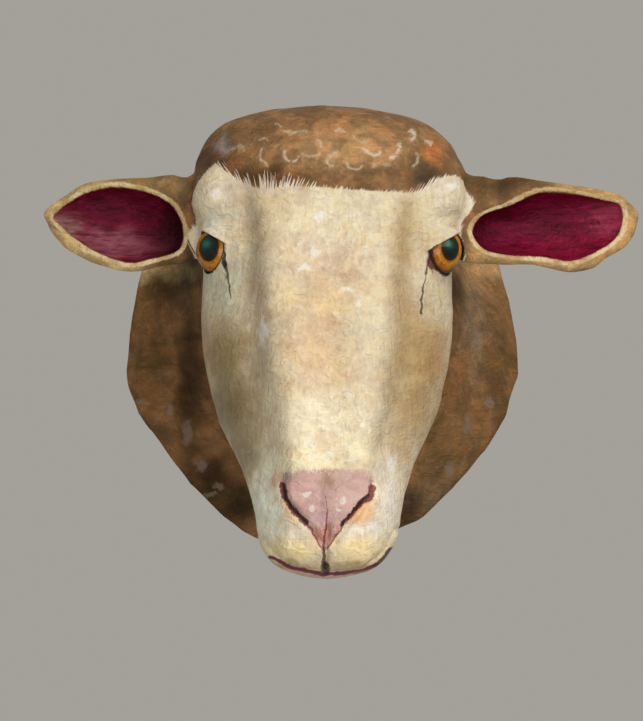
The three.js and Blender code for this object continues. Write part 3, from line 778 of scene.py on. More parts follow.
def mottled(points, colour, mottles):
    """The colour with patches of uneven noise multiplied by a light factor and others by a dark one. The
    noise is read askew, at places that other noise has moved about, so that its patches curl; half as much
    noise of half the size is added to it."""
    for size, seed, light, dark, share in mottles:
        place = (points / np.array(size, float)) @ ASKEW
        curled = place + 0.6 * np.stack([lumps(place, 0.8, seed + k) for k in (1, 2, 3)], -1)
        value = lumps(curled, 1.0, seed) + 0.5 * lumps(curled[:, ::-1], 0.5, seed + 5)
        for factor, sign in ((light, 1), (dark, -1)):
            weight = share * smooth_step(sign * value, 0.02, 0.3)[:, None]
            colour = colour * (1 + weight * (np.array(factor) - 1))
    return colour


def wool_side(points):
    """How far each point lies into the wool, in millimetres: above the hairline, behind the edge of the
    cream coat on the sides of the head, or beyond its edge at the ears, whichever is most."""
    u, v = seen(points)
    hair_u, hair_v = np.array(SEEN_HAIRLINE).T
    above = v - np.interp(u, hair_u, hair_v)
    level, front = np.array(SIDE_EDGE, float).T
    behind = points[:, 1] + np.interp(points[:, 2], level, front)
    left, right = (np.interp(v, *np.array(edge).T) for edge in (LEFT_EDGE, RIGHT_EDGE))
    beside = np.where(u > 0, u - right, left - u)
    return np.maximum(np.maximum(above, behind), beside)


def inside_outline(u, v, outline):
    """Distance to the inside of a closed outline in millimetres, below nothing outside it."""
    closed = list(outline) + [outline[0]]
    crossings = np.zeros(u.shape, int)
    for (au, av), (bu, bv) in zip(closed, closed[1:]):
        if av != bv:
            level = (v > min(av, bv)) & (v <= max(av, bv))
            crossings += level & (u < au + (v - av) * (bu - au) / (bv - av))
    return np.where(crossings % 2 == 1, 1, -1) * distance_to_line(u, v, closed)


def from_cup_middle(places, size):
    """Angle and distance of each place in an ear from the middle of its cup."""
    across, up = ((places - CUP_MIDDLE) * size).T
    return np.arctan2(up, across), np.hypot(across, up)


def inside_cup(points):
    """How far each point lies inside an ear's opening, in millimetres, on the cup's own side of the shell:
    the distance from the cup's middle to the opening's edge in that direction, less the point's distance. A
    point is on the cup's side where its depth is nearer the cup's bowl than the shell's."""
    inside = np.full(len(points), FAR_OUTSIDE)
    for ear in (LEFT_EAR, RIGHT_EAR):
        x, y, z = (points - ear["root"]).T
        along, up = x * ear["side"] / ear["length"], z / EAR_HEIGHT
        depth = y - ear["sweep"] * np.clip(along, 0, 1) ** 2 - EAR_TILT * up * EAR_HEIGHT
        size = np.array((ear["length"], EAR_HEIGHT))
        angle, away = from_cup_middle(np.stack((along, up), -1), size)
        edge = {}
        for name in ("opening", "outer"):
            outline = loop_through(ear[name], np.arange(360) / 360)
            edge_angle, edge_away = from_cup_middle(outline, size)
            order = np.argsort(edge_angle)
            edge[name] = np.interp(angle, edge_angle[order], edge_away[order], period=2 * math.pi)
        deep = ear_depth(along)
        bowl = deep * np.maximum(1 - (away / edge["opening"]) ** 2, 0) ** BOWL_POWER
        shell = EAR_WALL + deep * np.maximum(1 - (away / edge["outer"]) ** 2, 0) ** BOWL_POWER
        front = (depth < (bowl + shell) / 2) & (depth > -CUP_PAINT_FORWARD) & (along > -CUP_PAINT_BACK)
        inside = np.maximum(inside, np.where(front, edge["opening"] - away, FAR_OUTSIDE))
    return inside


def store_paint(mesh):
    """Stores the coats' colours, painted shade and shadows included, and the places of the zones at each
    point of the head.
    """
    points = read_points(mesh)
    u, v = seen(points)
    for name, (base, patches, mottles) in COATS.items():
        colour = coat(points, base, patches)
        if name == "face_coat_and_shade":
            for line, reach, shade, share in VALLEY_COATS_AND_SHADE:
                weight = share * np.exp(-((distance_to_line(u, v, line) / reach) ** 2))[:, None]
                colour += weight * (linear(shade) - colour)
        give(mesh, name, mottled(points, colour, mottles))
    give(mesh, "wool", wool_side(points))
    give(mesh, "cup", inside_cup(points))
    on_front = points[:, 1] < NOSE_FRONT
    give(mesh, "nose", np.where(on_front, inside_outline(u, v, NOSE_PAD), FAR_OUTSIDE))
    to_eye = EYE_POINT - points
    give(mesh, "facing", (read_normals(mesh) * to_eye).sum(1) / np.linalg.norm(to_eye, axis=1))


# Materials.
def screen_colour(red, green, blue):
    """A colour of 0 to 255, as seen on a screen, as a shader takes it."""
    return tuple(linear((red, green, blue)))


class Number:
    """A number that flows through a shader and is written in sums like any other."""

    def __init__(self, paint, socket):
        self.paint, self.socket = paint, socket

    def sum(self, operation, first, second=0.0):
        return self.paint.number("ShaderNodeMath", {"operation": operation}, [first, second])

    def __add__(self, other):
        return self.sum("ADD", self, other)

    def __sub__(self, other):
        return self.sum("SUBTRACT", self, other)

    def __rsub__(self, other):
        return self.sum("SUBTRACT", other, self)

    def __mul__(self, other):
        return self.sum("MULTIPLY", self, other)

    def __truediv__(self, other):
        return self.sum("DIVIDE", self, other)

    def __rtruediv__(self, other):
        return self.sum("DIVIDE", other, self)

    def __pow__(self, other):
        return self.sum("POWER", self, other)

    def __neg__(self):
        return self.sum("MULTIPLY", self, -1.0)

    __radd__ = __add__
    __rmul__ = __mul__

    def most(self, other):
        return self.sum("MAXIMUM", self, other)

    def least(self, other):
        return self.sum("MINIMUM", self, other)

    def held(self):
        """The number kept between 0 and 1."""
        return self.most(0.0).least(1.0)

    def bell(self, middle, reach):
        """1 at the middle, falling off evenly like a bell."""
        away = (self - middle) / reach
        return self.sum("EXPONENT", -(away * away))

    def rise(self, low, high):
        """0 below low and 1 above high, with an even S between, which needs no clamp of its own."""
        settings = {"interpolation_type": "SMOOTHSTEP", "clamp": False}
        inputs = {"Value": self, "From Min": low, "From Max": high}
        return self.paint.number("ShaderNodeMapRange", settings, inputs)


class Paint:
    """A material under way, with the nodes that its colours are worked out from."""

    def __init__(self, name):
        self.material = bpy.data.materials.new(name)
        self.material.use_nodes = True
        self.tree = self.material.node_tree
        self.shader = self.tree.nodes["Principled BSDF"]
        self.metres = self.node("ShaderNodeTexCoord").outputs["Object"]
        self.place = self.scaled(self.metres, (1 / MM, 1 / MM, 1 / MM))
        parts = self.node("ShaderNodeSeparateXYZ", inputs=[self.place])
        self.x, self.y, self.z = (Number(self, socket) for socket in parts.outputs)
        share = (SEEN_PLANE - EYE_POINT[1]) / (self.y - EYE_POINT[1])
        self.u = self.x * share
        self.v = (self.z - EYE_POINT[2]) * share + EYE_POINT[2]
        self.seen = self.flat_place(self.u, self.v)
        self.unsteady = self.shaken(self.seen, 8.0, 7.0)
        self.trembling = self.shaken(self.seen, 4.0, 2.0)

    def node(self, kind, settings=None, inputs=()):
        """A node of this kind with its settings, and values or sockets put into its inputs."""
        node = self.tree.nodes.new(kind)
        for name, value in (settings or {}).items():
            setattr(node, name, value)
        pairs = inputs.items() if isinstance(inputs, dict) else enumerate(inputs)
        for slot, value in pairs:
            self.put(node.inputs[slot], value)
        return node

    def put(self, slot, value):
        value = value.socket if isinstance(value, Number) else value
        if isinstance(value, bpy.types.NodeSocket):
            self.tree.links.new(value, slot)
        elif slot.type == "RGBA":
            slot.default_value = (*value, 1.0)
        else:
            slot.default_value = value

    def number(self, kind, settings=None, inputs=()):
        return Number(self, self.node(kind, settings, inputs).outputs[0])

    def vector(self, operation, first, second=(0.0, 0.0, 0.0), scale=1.0):
        inputs = {0: first, 1: second, 3: scale}
        return self.node("ShaderNodeVectorMath", {"operation": operation}, inputs).outputs["Vector"]

    def length(self, vector):
        node = self.node("ShaderNodeVectorMath", {"operation": "LENGTH"}, [vector])
        return Number(self, node.outputs["Value"])

    def dot(self, first, second):
        node = self.node("ShaderNodeVectorMath", {"operation": "DOT_PRODUCT"}, [first, second])
        return Number(self, node.outputs["Value"])

    def flat_place(self, u, v):
        return self.node("ShaderNodeCombineXYZ", inputs=[u, v]).outputs[0]

    def stored(self, name):
        """A number stored on the mesh."""
        return Number(self, self.node("ShaderNodeAttribute", {"attribute_name": name}).outputs["Fac"])

    def stored_colour(self, name):
        return self.node("ShaderNodeAttribute", {"attribute_name": name}).outputs["Color"]

    def scaled(self, place, scale):
        return self.node("ShaderNodeMapping", {}, {"Vector": place, "Scale": scale}).outputs[0]

    def noise(self, size, detail=2.0, rough=0.5, warp=0.0, place=None):
        """Noise from 0 to 1 with lumps of this size on x, y and z, in millimetres."""
        if place is None:
            place = self.scaled(self.metres, tuple(1 / (s * MM) for s in size))
        else:
            place = self.scaled(place, tuple(1 / s for s in size))
        inputs = {"Vector": place, "Scale": 1.0, "Detail": detail, "Roughness": rough, "Distortion": warp}
        return self.number("ShaderNodeTexNoise", {}, inputs)

    def shaken(self, place, size, reach):
        """A place moved about by noise of this size, as far as half the reach each way."""
        noise = self.node("ShaderNodeTexNoise", {}, {"Vector": place, "Scale": 1 / size, "Detail": 1.0})
        parts = self.node("ShaderNodeSeparateColor", inputs=[noise.outputs["Color"]])
        shift = [(Number(self, socket) - 0.5) * reach for socket in parts.outputs[:2]]
        return self.vector("ADD", place, self.flat_place(*shift))

    def mix(self, share, first, second, blend="MIX"):
        """The first colour with the second laid over it by this share."""
        settings = {"data_type": "RGBA", "blend_type": blend}
        return self.node("ShaderNodeMix", settings, {0: share, 6: first, 7: second}).outputs[2]

    def tint(self, share, colour, factor):
        """The colour with this share of it multiplied by a factor of red, green and blue."""
        return self.mix(share, colour, factor, "MULTIPLY")

    def line_away(self, line, start, end):
        """Distance from the painted edge of a line of straight stretches, as seen from the eye point. Its
        half width runs from start to end along the line."""
        nearest = None
        widening = (end - start) / (len(line) - 1)
        for k, ((au, av), (bu, bv)) in enumerate(zip(line, line[1:])):
            run = (bu - au, bv - av, 0.0)
            from_start = self.vector("SUBTRACT", self.trembling, (au, av, 0.0))
            share = (self.dot(from_start, run) * (1 / (run[0] ** 2 + run[1] ** 2))).held()
            on_line = self.vector("SCALE", run, scale=share)
            away = self.length(self.vector("SUBTRACT", from_start, on_line))
            away = away - (share * widening + (start + widening * k))
            nearest = away if nearest is None else nearest.least(away)
        return nearest

    def spots(self, places, rough, rag):
        """Distance from the nearest of these dabs as a share of its reach, with its edge made ragged."""
        nearest = None
        for (u, v), (reach_u, reach_v) in places:
            off = self.vector("SUBTRACT", self.unsteady, (u, v, 0.0))
            share = self.length(self.vector("MULTIPLY", off, (1 / reach_u, 1 / reach_v, 0.0)))
            nearest = share if nearest is None else nearest.least(share)
        return nearest + (rough - 0.5) * rag

    def arc(self, at, radius, middle, half, width, strength):
        """A curved brush stroke: a ring round its middle, faded out away from the middle angle."""
        from_middle = self.vector("SUBTRACT", self.unsteady, (*at, 0.0))
        away = self.length(from_middle)
        way = (math.cos(math.radians(middle)), math.sin(math.radians(middle)), 0.0)
        turned = self.dot(from_middle, way) / away
        limit = math.cos(math.radians(half))
        return away.bell(radius, width) * turned.rise(limit, limit + 0.4 * (1 - limit)) * strength

    def gloss(self, weight, roughness):
        """A clear coat of this weight over the paint."""
        self.put(self.shader.inputs["Coat Weight"], weight)
        self.shader.inputs["Coat Roughness"].default_value = roughness

    def finish(self, colour, roughness, height, bump):
        """Puts the colour, the roughness and a bump of this many millimetres on the shader."""
        self.put(self.shader.inputs["Base Color"], colour)
        self.put(self.shader.inputs["Roughness"], roughness)
        self.shader.inputs["Specular IOR Level"].default_value = 0.12
        node = self.node("ShaderNodeBump", {}, {"Strength": 1.0, "Distance": bump * MM, "Height": height})
        self.tree.links.new(node.outputs[0], self.shader.inputs["Normal"])
        return self.material


# The brush's marks: size on x, y and z in millimetres, detail, roughness, warp.
MARKS = {
    "soft": ((16, 16, 16), 3, 0.6, 0),
    "fine": ((2.4, 2.4, 5), 3, 0.65, 0.4),
    "grain": ((0.7, 0.7, 1.4), 2, 0.6, 0),
    "long strokes": ((2.6, 2.6, 16), 3, 0.6, 0.6),
    "cross strokes": ((9, 9, 2.2), 2, 0.6, 0.8),
    "wisps": ((1.0, 1.0, 11), 2, 0.7, 0.5),
    "thick paint": ((7, 7, 4.5), 1, 0.5, 1.6),
}
# How the marks change a coat: mark, whether its high or its low parts count, where the change starts and
# where it is whole, share, factor of red, green and blue.
FACE_STROKES = (
    ("long strokes", "high", 0.5, 0.7, 0.8, (1.12, 1.13, 1.16)),
    ("long strokes", "low", 0.5, 0.72, 0.8, (0.84, 0.8, 0.74)),
    ("cross strokes", "high", 0.56, 0.64, 0.5, (1.1, 1.12, 1.16)),
    ("fine", "high", 0.58, 0.7, 0.7, (1.1, 1.13, 1.18)),
    ("thick paint", "high", 0.5, 0.62, 0.6, (1.06, 1.08, 1.11)),
    ("thick paint", "low", 0.54, 0.68, 0.5, (0.94, 0.92, 0.87)),
)
WOOL_STROKES = (
    ("long strokes", "high", 0.56, 0.7, 0.6, (1.3, 1.27, 1.25)),
    ("cross strokes", "high", 0.56, 0.66, 0.6, (0.76, 0.72, 0.66)),
    ("thick paint", "high", 0.58, 0.64, 0.6, (1.35, 1.3, 1.3)),
    ("fine", "high", 0.56, 0.7, 0.5, (1.3, 1.26, 1.2)),
)
# How far each mark stands out, as a share of the brush's relief in millimetres.
STROKE_HEIGHTS = {"long strokes": 0.5, "fine": 0.35, "grain": 0.15, "thick paint": 1.5}
STROKE_RELIEF = 0.7

# Where the hairs above the forehead part.
PARTING = -30

# Lines on the face, as seen from the eye point: places, half width at the start and the end.
NOSTRIL_LINES = (
    (((-22.8, -78), (-21.4, -85.3), (-15.8, -93.5), (-9.4, -101)), 1.7, 1.2),
    (((29.5, -79.6), (28, -85.4), (23, -88), (18, -94), (12.8, -100.4)), 2.1, 0.9),
)
NOSTRIL_CORES = (
    (((-21.8, -77.5), (-20.4, -86), (-14.8, -93.3), (-8.8, -99.6)), 0.9, 1.4),
    (((26.8, -83.8), (22.4, -88.2), (17.6, -93.6), (11, -101.5)), 1.1, 0.8),
)
RED_LINES = (
    (((-8.7, -100.4), (-5.5, -104.5), (0.3, -115.5)), 1.0, 0.3),
    (((12.8, -100.4), (11.3, -103.6), (3.2, -114.7)), 0.8, 0.3),
    (((2.4, -84), (3.4, -92), (2.4, -104), (0.9, -115)), 0.1, 0.8),
)
DARK_LINES = (
    (((1.2, -114), (1.6, -119), (1.6, -125)), 0.5, 1.5),
    (((-56, 51), (-54.6, 44.5), (-53.4, 37), (-52.4, 30.5)), 1.0, 0.2),
    (((61.2, 45.4), (59.4, 38), (58, 30), (57.8, 22)), 0.3, 0.8),
    (((60.4, 44.5), (61.8, 51.5), (64.7, 59.6), (68, 61.5)), 0.6, 0.5),
)
MOUTH_LINES = (
    (
        ((-29.9, -119.6), (-17.7, -125.7), (0.3, -129.4), (14.2, -128.8), (24.1, -127.7), (32, -124)),
        1.0, 1.3,
    ),
)
MOUTH_END = ((((30, -125.4), (35.5, -121), (40.3, -115.5)), 0.9, 1.8),)
# The inks in the order they are laid on: lines, colour, share, how ragged the edge is.
INKS = (
    (MOUTH_LINES, (112, 20, 58), 0.95, 0.6),
    (MOUTH_END, (52, 26, 34), 0.9, 1.6),
    (RED_LINES, (126, 44, 40), 0.85, 1.4),
    (NOSTRIL_LINES, (122, 26, 36), 0.9, 2.6),
    (NOSTRIL_CORES, (34, 18, 22), 0.9, 2.2),
    (DARK_LINES, (52, 42, 32), 0.85, 1.3),
)
# The dark blot in the middle of the lip: place, reach.
LIP_BLOT = ((2.0, -126.5), (2.6, 4.2))
# The dark inner corners of the eyes: place, reach, ink.
EYE_CORNERS = (((-56.2, 52.5), (1.6, 5), (40, 30, 22)), ((65.8, 51.5), (4.2, 6.5), (84, 26, 26)))
# Curls of pale paint on the crown: middle, radius, middle angle, half the turn, half width, strength.
CURLS = (
    ((-25.2, 128.5), 3, 90, 60, 0.7, 0.6),
    ((-31, 112.5), 5.5, 200, 95, 0.9, 0.75),
    ((-17.5, 114.5), 5.2, 250, 100, 1.0, 0.8),
    ((-6.5, 118.5), 6.5, 270, 60, 0.9, 0.5),
    ((-5, 119), 4.5, 20, 50, 1.0, 0.5),
    ((9, 110), 4.6, 170, 90, 1.2, 0.7),
    ((10.5, 126.5), 2.2, 90, 80, 0.9, 0.7),
    ((18.5, 110), 4.5, 260, 90, 0.9, 0.6),
    ((30, 121.5), 7, 265, 62, 1.3, 1.0),
    ((40.5, 117.5), 5, -30, 85, 1.1, 1.0),
    ((51, 124.5), 2.6, 0, 110, 1.0, 1.0),
    ((59, 117), 6, 60, 32, 0.9, 0.8),
    ((51.5, 110.5), 4.6, -10, 75, 0.8, 0.6),
    ((-16, 139), 13, 270, 42, 0.9, 0.6),
    ((-33.5, 119.5), 3.8, 90, 55, 0.8, 0.5),
    ((-48, 114), 5, 90, 60, 0.8, 0.4),
    ((24, 128), 6, 240, 50, 0.8, 0.4),
    ((35, 104), 5, 100, 70, 0.9, 0.35),
)
# Dabs of white paint on the face, of grey paint on the neck and of white paint on the nose: place, reach.
DABS = (
    ((-1.4, 78.8), (5, 3)), ((-3.2, 57.3), (3.5, 4)), ((20.6, 28.3), (2.2, 4)), ((14.8, 35.9), (4, 1.6)),
    ((15.9, -25.6), (3, 2)), ((-7.8, -52.3), (2.6, 3.4)), ((-6.1, -61.6), (3, 2)), ((5.4, -60), (3.6, 2.2)),
    ((22.9, -43.6), (2, 1.8)), ((-62, 91), (4, 4)), ((76, 96), (5, 2.5)), ((-10, 48), (6, 2)),
    ((41, -66), (3, 6)), ((30, -101), (4, 3)), ((-34, 12), (2.5, 10)),
)
WOOL_DABS = (
    ((-78, -48), (2.5, 7)), ((-70, -66), (4, 4)), ((-60, -78), (3, 3)), ((-88, -34), (2.5, 4)),
    ((-66, -84), (4, 2)), ((84, -42), (2.5, 7)), ((97, -30), (3, 3)), ((90, 6), (2.5, 8)),
    ((100, -56), (4, 2.5)), ((74, -68), (3, 4)), ((-112, 36), (2, 4)), ((-104, -30), (3, 2)),
)
NOSE_DABS = (
    ((-7.8, -83.6), (2.6, 1.9)), ((-4.9, -91.7), (2.3, 2.0)), ((12.5, -87.1), (2.2, 1.7)),
    ((10.7, -92.3), (1.8, 1.2)),
)


def stroked(paint, marks, colour, strokes):
    """The colour multiplied by each stroke's factor where the stroke's mark is high, or low."""
    for name, side, start, whole, share, factor in strokes:
        mark = marks[name] if side == "high" else 1 - marks[name]
        colour = paint.tint(mark.rise(start, whole) * share, colour, factor)
    return colour


def combed_hairs(paint):
    """Thin upright noise whose hairs lean away, to both sides, from a parting on the viewer's left of the
    forehead."""
    lean = ((paint.u - PARTING) / 26).held() - ((PARTING - paint.u) / 26).held()
    combed = paint.flat_place(paint.u - lean * (paint.v - 95) * 0.6, paint.v)
    return paint.noise((0.75, 22, 1), 2, 0.7, 0.3, combed)


def face_paint(paint, marks):
    """The cream coat, painted shade on its left side and in its hollows included, with its brush strokes and
    dabs of white.
    """
    face = stroked(paint, marks, paint.stored_colour("face_coat_and_shade"), FACE_STROKES)
    dabs = paint.spots(DABS, marks["fine"], 1.6).rise(0.4, 1.2)
    return paint.mix((1 - dabs) * 0.55, face, screen_colour(252, 250, 240))


def pale_curls(paint, marks):
    """Share of pale paint: the strongest curl at each place, on the front of the crown."""
    curls = None
    for curl in CURLS:
        stroke = paint.arc(*curl)
        curls = stroke if curls is None else curls.most(stroke)
    front = paint.v.rise(90, 98) * marks["fine"].rise(0.28, 0.56) * (1 - paint.y.rise(-104, -92))
    return (curls * front).held()


def wool_paint(paint, marks):
    """The brown coat, painted shadows included, with its brush strokes, dabs of grey, and pale curls."""
    wool = stroked(paint, marks, paint.stored_colour("wool_coat_and_shadows"), WOOL_STROKES)
    dabs = paint.spots(WOOL_DABS, marks["fine"], 1.8).rise(0.5, 1.3)
    wool = paint.mix((1 - dabs) * 0.6, wool, screen_colour(140, 122, 108))
    return paint.mix(pale_curls(paint, marks) * 0.85, wool, screen_colour(222, 200, 172))


def bristly_edge(paint, marks, hairs, face, wool):
    """The face's coat where it meets the wool: it runs up into the wool in bristles, longest on the
    viewer's left of the forehead. Gives the colour and the wool's share."""
    front = (paint.y + 175).rise(0, 1)
    reach = paint.u.bell(-33, 23) * 9.5 + 2.2 + paint.u.bell(58, 9) * 3
    bristles = hairs.rise(0.42, 0.74) * reach + (marks["grain"] - 0.5) * 0.8
    into_wool = paint.stored("wool")
    wool_share = (into_wool - bristles).rise(-0.5, 0.5)
    pale = into_wool.rise(-7, 1) * hairs.rise(0.42, 0.6) * front
    face = paint.mix(pale * 0.6, face, screen_colour(226, 212, 200))
    return paint.mix(wool_share, face, wool), wool_share


def with_nose(paint, marks, colour):
    """The pink nose, with a wispy upper edge, red wisps near its foot and dabs of white."""
    fine, wisps = marks["fine"], marks["wisps"]
    fringe = wisps.rise(0.45, 0.75) * paint.v.rise(-80, -72) * 3.4
    nose = (paint.stored("nose") + (fine - 0.5) * 3.2 - fringe).rise(-0.8, 0.8)
    pad = paint.stored_colour("pad_coat")
    pad = paint.mix(fine.rise(0.56, 0.7) * 0.4, pad, screen_colour(236, 212, 202))
    low = 1 - paint.v.rise(-104, -96)
    pad = paint.mix(wisps.rise(0.56, 0.66) * low * 0.6, pad, screen_colour(128, 70, 66))
    dabs = paint.spots(NOSE_DABS, fine, 0.8).rise(0.75, 1.15)
    pad = paint.mix((1 - dabs) * 0.75, pad, screen_colour(234, 226, 216))
    return paint.mix(nose, colour, pad)


def with_ink(paint, marks, colour):
    """The dark and red lines of mouth, nostrils and eyes, only where the face looks forward."""
    front = (1 - paint.y.rise(-140, -120)) * paint.stored("facing").rise(0, 0.15)
    for lines, ink, share, rag in INKS:
        nearest = None
        for line, start, end in lines:
            away = paint.line_away(line, start, end)
            nearest = away if nearest is None else nearest.least(away)
        ink_share = 1 - (nearest + (marks["wisps"] - 0.5) * rag).rise(-0.35, 0.35)
        colour = paint.mix(ink_share * front * share, colour, screen_colour(*ink))
    blot = paint.spots((LIP_BLOT,), marks["wisps"], 0.8).rise(0.7, 1.1)
    colour = paint.mix((1 - blot) * front * 0.85, colour, screen_colour(62, 48, 40))
    for at, reach, ink in EYE_CORNERS:
        corner = paint.spots(((at, reach),), marks["fine"], 0.7).rise(0.8, 1.1)
        colour = paint.mix((1 - corner) * front * 0.92, colour, screen_colour(*ink))
    return colour


def with_eye_rings(paint, marks, colour):
    """A dark ring on the paper where it closes on each eyeball."""
    for middle in EYE_MIDDLES.values():
        ball = paint.length(paint.vector("SUBTRACT", paint.place, tuple(middle)))
        ring = 1 - (ball - (marks["grain"] - 0.5) * 0.7).rise(EYE_RADIUS + 0.9, EYE_RADIUS + 1.6)
        colour = paint.mix(ring * 0.95, colour, screen_colour(34, 26, 20))
    return colour


def with_ear_cups(paint, marks, colour):
    """The streaked crimson inside of the ears, with painted shade deep in the cups and under their upper
    rims, and a straw rim round it.
    """
    fine = marks["fine"]
    cup = paint.stored("cup")
    streaks = paint.noise((14, 5, 2.2), 3, 0.6, 0.5)
    inside = paint.tint(streaks.rise(0.5, 0.66), paint.stored_colour("cup_coat_and_shade"), (0.6, 0.4, 0.5))
    inside = paint.tint((1 - streaks).rise(0.54, 0.7), inside, (1.35, 1.5, 1.45))
    rim = (cup + 3.0 + (fine - 0.5) * 3).rise(-0.6, 0.6)
    soft = marks["soft"]
    straw = paint.mix(soft.rise(0.4, 0.6), screen_colour(222, 200, 154), screen_colour(196, 166, 116))
    straw = paint.tint(fine.rise(0.48, 0.62), straw, (0.8, 0.75, 0.68))
    colour = paint.mix(rim, colour, straw)
    return paint.mix((cup + (fine - 0.5) * 1.6).rise(-0.5, 0.5), colour, inside)


def with_bare_card(paint, marks, colour):
    """The flat back in the colour of bare card."""
    fine, soft = marks["fine"], marks["soft"]
    card = paint.mix(fine.rise(0.35, 0.65), screen_colour(142, 122, 92), screen_colour(118, 98, 72))
    card = paint.tint(soft.rise(0.4, 0.65), card, (0.8, 0.78, 0.74))
    return paint.mix(paint.y.rise(-1.5, -0.8), colour, card)


def painted_paper():
    """The head's coats: mottled brown wool with pale curls, a cream face with a bristly upper edge, a pink
    nose, dark lines of the nostrils, mouth and eyes, and crimson ear cups inside straw rims. Painted shade
    and shadows lie in the wool, on the face and in the cups. The face has a little gloss, and all the brush
    strokes stand out."""
    paint = Paint("painted papier mache")
    marks = {name: paint.noise(*mark) for name, mark in MARKS.items()}
    hairs = combed_hairs(paint)
    face = face_paint(paint, marks)
    wool = wool_paint(paint, marks)
    colour, wool_share = bristly_edge(paint, marks, hairs, face, wool)
    for layer in (with_nose, with_ink, with_eye_rings, with_ear_cups, with_bare_card):
        colour = layer(paint, marks, colour)
    height = 0
    for name, share in STROKE_HEIGHTS.items():
        height = marks[name] * share + height
    paint.gloss((1 - wool_share) * 0.3, 0.35)
    return paint.finish(colour, 0.42 + marks["soft"] * 0.2, height, STROKE_RELIEF)


# Pupil of each eye: the way it faces, its half width and half height in millimetres, and how many half
# widths to the viewer's left of it the red inner corner starts.
PUPILS = {"left_eye": ((-0.5, -0.86, 0.1), 7.0, 8.2, 9), "right_eye": ((0.52, -0.85, 0.1), 6.4, 8.0, 1.75)}


def iris_paint(paint, smear, out):
    """An amber ring with a paler line in it, darkened towards its edge by painted shade where the lids close
    over the ball, then black. out is the distance from the pupil's middle, 1 at its edge."""
    colour = paint.mix(smear.rise(0.35, 0.65), screen_colour(194, 122, 6), screen_colour(146, 82, 2))
    colour = paint.mix(out.bell(1.22, 0.1) * 0.4, colour, screen_colour(226, 164, 30))
    # Painted shade on the iris where the lids close over it, then a black edge.
    colour = paint.mix(out.rise(1.5, 1.66), colour, screen_colour(84, 40, 8))
    return paint.mix(out.rise(1.66, 1.85), colour, screen_colour(18, 10, 8))


def pupil_paint(paint, smear, out, across, up):
    """A near-black pupil with a painted teal highlight in it and a dim red edge."""
    colour = paint.mix(smear.rise(0.4, 0.7), screen_colour(10, 14, 12), screen_colour(24, 34, 24))
    # The teal patch is a painted highlight.
    colour = paint.mix(across.bell(-0.2, 0.42) * up.bell(0.25, 0.3), colour, screen_colour(20, 104, 84))
    return paint.mix(out.bell(0.86, 0.1) * 0.6, colour, screen_colour(44, 14, 10))


def glossy_eye(name, middle):
    """A glossy eye: a dark teal pupil with a painted highlight, an amber ring round it, a dark edge, a red
    inner corner, and painted shade on the half of the ball turned back into its socket.
    """
    facing, half_width, half_height, corner = PUPILS[name]
    facing = np.array(facing) / np.linalg.norm(facing)
    sideways = np.cross((0, 0, 1), facing)
    sideways /= np.linalg.norm(sideways)
    upwards = np.cross(facing, sideways)
    paint = Paint(f"glossy {name}")
    spot = paint.vector("SUBTRACT", paint.place, tuple(middle))
    ways = (sideways / half_width, upwards / half_height, facing)
    across, up, forward = (paint.dot(spot, tuple(way)) for way in ways)
    smear = paint.noise((1.6, 1.6, 2.2), 3, 0.6, 0.6)
    out = (across * across + up * up) ** 0.5 + (smear - 0.5) * 0.16
    colour = iris_paint(paint, smear, out)
    pupil = pupil_paint(paint, smear, out, across, up)
    colour = paint.mix(1 - out.rise(0.92, 1.04), colour, pupil)
    beyond = (across + (smear - 0.5) * 0.5).rise(-corner - 0.2, 0.2 - corner)
    colour = paint.mix(1 - beyond, colour, screen_colour(88, 26, 20))
    # Painted shade on the half of the ball turned back into its socket.
    colour = paint.mix(1 - forward.rise(-1, 1), colour, screen_colour(30, 20, 16))
    paint.gloss(0.45, 0.08)
    return paint.finish(colour, 0.22, smear, 0.05)


# Pieces.
def cover_head():
    """The head, neck and ears in one skin, with lids over the eyes and sockets for them."""
    skins = [
        head_surface(HEAD_ROWS, HEAD_COLUMNS),
        neck_surface(NECK_COLUMNS, NECK_STEPS),
        ear_surface(LEFT_EAR),
        ear_surface(RIGHT_EAR),
    ]
    head = make_mesh("painted_head", skins[0])
    join(head, [make_mesh(f"part_{k}", rings) for k, rings in enumerate(skins[1:])], [])
    ease_joins(head.data, np.concatenate([skin(rings)[0] for rings in skins]))
    lids, sockets = [], []
    for name, (side, _, half_angle) in EYES.items():
        middle = EYE_MIDDLES[name]
        socket = ball_surface(EYE_RADIUS + EYE_GAP, middle, SOCKET_ROWS, SOCKET_COLUMNS)
        lids.append(make_mesh(f"lid_of_{name}", lid_surface(middle, side, half_angle)))
        sockets.append(make_mesh(f"socket_of_{name}", socket))
    join(head, lids, sockets)
    add_relief(head.data, *solid_box)
    head.data.shade_smooth()
    store_paint(head.data)
    head.data.materials.clear()
    head.data.materials.append(painted_paper())
    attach(head, "root")
    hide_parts("sheep_head")


def cover_eye(name, middle):
    """A painted eyeball, a little inside its solid."""
    ball = ball_surface(EYE_RADIUS - EYE_INSET, middle, EYE_ROWS, EYE_COLUMNS)
    eye = make_mesh(f"painted_{name}", ball)
    eye.data.shade_smooth()
    eye.data.materials.append(glossy_eye(name, middle))
    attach(eye, "root")
    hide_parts(name)


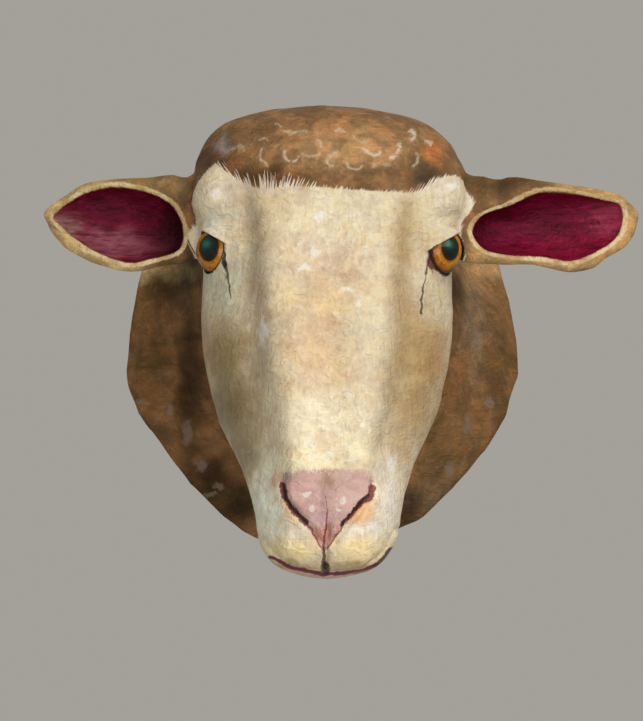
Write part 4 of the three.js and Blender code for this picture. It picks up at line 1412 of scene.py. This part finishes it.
EYE_MIDDLES = {name: eye_middle(side, shift) for name, (side, shift, _) in EYES.items()}
cover_head()
for eye_name, eye_place in EYE_MIDDLES.items():
    cover_eye(eye_name, eye_place)


# Stage, light and camera, in metres and watts.
FLOOR_LEVEL = -0.62
FLOOR_SIZE = 1.5
STUDIO_COLOUR = (163, 161, 153)
LIT_PLACE = Vector((0, -0.12, 0))
# Soft lights: name, place, size, power.
LIGHTS = (
    ("upper right", (0.8, -1.2, 1.2), 1.7, 21.5),
    ("front", (0.0, -2.0, -0.25), 1.0, 8.2),
)
LENS = 106.3


def plain_floor(level, size):
    mesh = bpy.data.meshes.new("floor")
    corners = [(-size, -size, level), (size, -size, level), (size, size, level), (-size, size, level)]
    mesh.from_pydata(corners, [], [(0, 1, 2, 3)])
    floor = bpy.data.objects.new("floor", mesh)
    bpy.context.scene.collection.objects.link(floor)
    paint = Paint("pale floor")
    shade = paint.noise((300, 300, 300))
    colour = paint.mix(shade, (0.55, 0.54, 0.52), (0.5, 0.49, 0.47))
    mesh.materials.append(paint.finish(colour, 0.8, shade, 0.1))


def studio(colour):
    world = bpy.data.worlds.new("studio")
    world.use_nodes = True
    world.node_tree.nodes["Background"].inputs["Color"].default_value = (*linear(colour), 1)
    bpy.context.scene.world = world


def soft_light(name, place, size, power):
    light = bpy.data.lights.new(name, "AREA")
    light.size = size
    light.energy = power
    thing = bpy.data.objects.new(name, light)
    thing.location = place
    thing.rotation_euler = (LIT_PLACE - Vector(place)).to_track_quat("-Z", "Y").to_euler()
    bpy.context.scene.collection.objects.link(thing)


def level_camera(place, lens):
    camera = bpy.data.objects.new("camera", bpy.data.cameras.new("camera"))
    camera.data.sensor_width = 36
    camera.data.lens = lens
    camera.location = place
    camera.rotation_euler = (math.radians(90), 0, 0)
    bpy.context.scene.collection.objects.link(camera)
    bpy.context.scene.camera = camera


plain_floor(FLOOR_LEVEL, FLOOR_SIZE)
studio(STUDIO_COLOUR)
for light in LIGHTS:
    soft_light(*light)
level_camera(tuple(v * MM for v in EYE_POINT), LENS)
bpy.context.scene.view_settings.view_transform = "Standard"
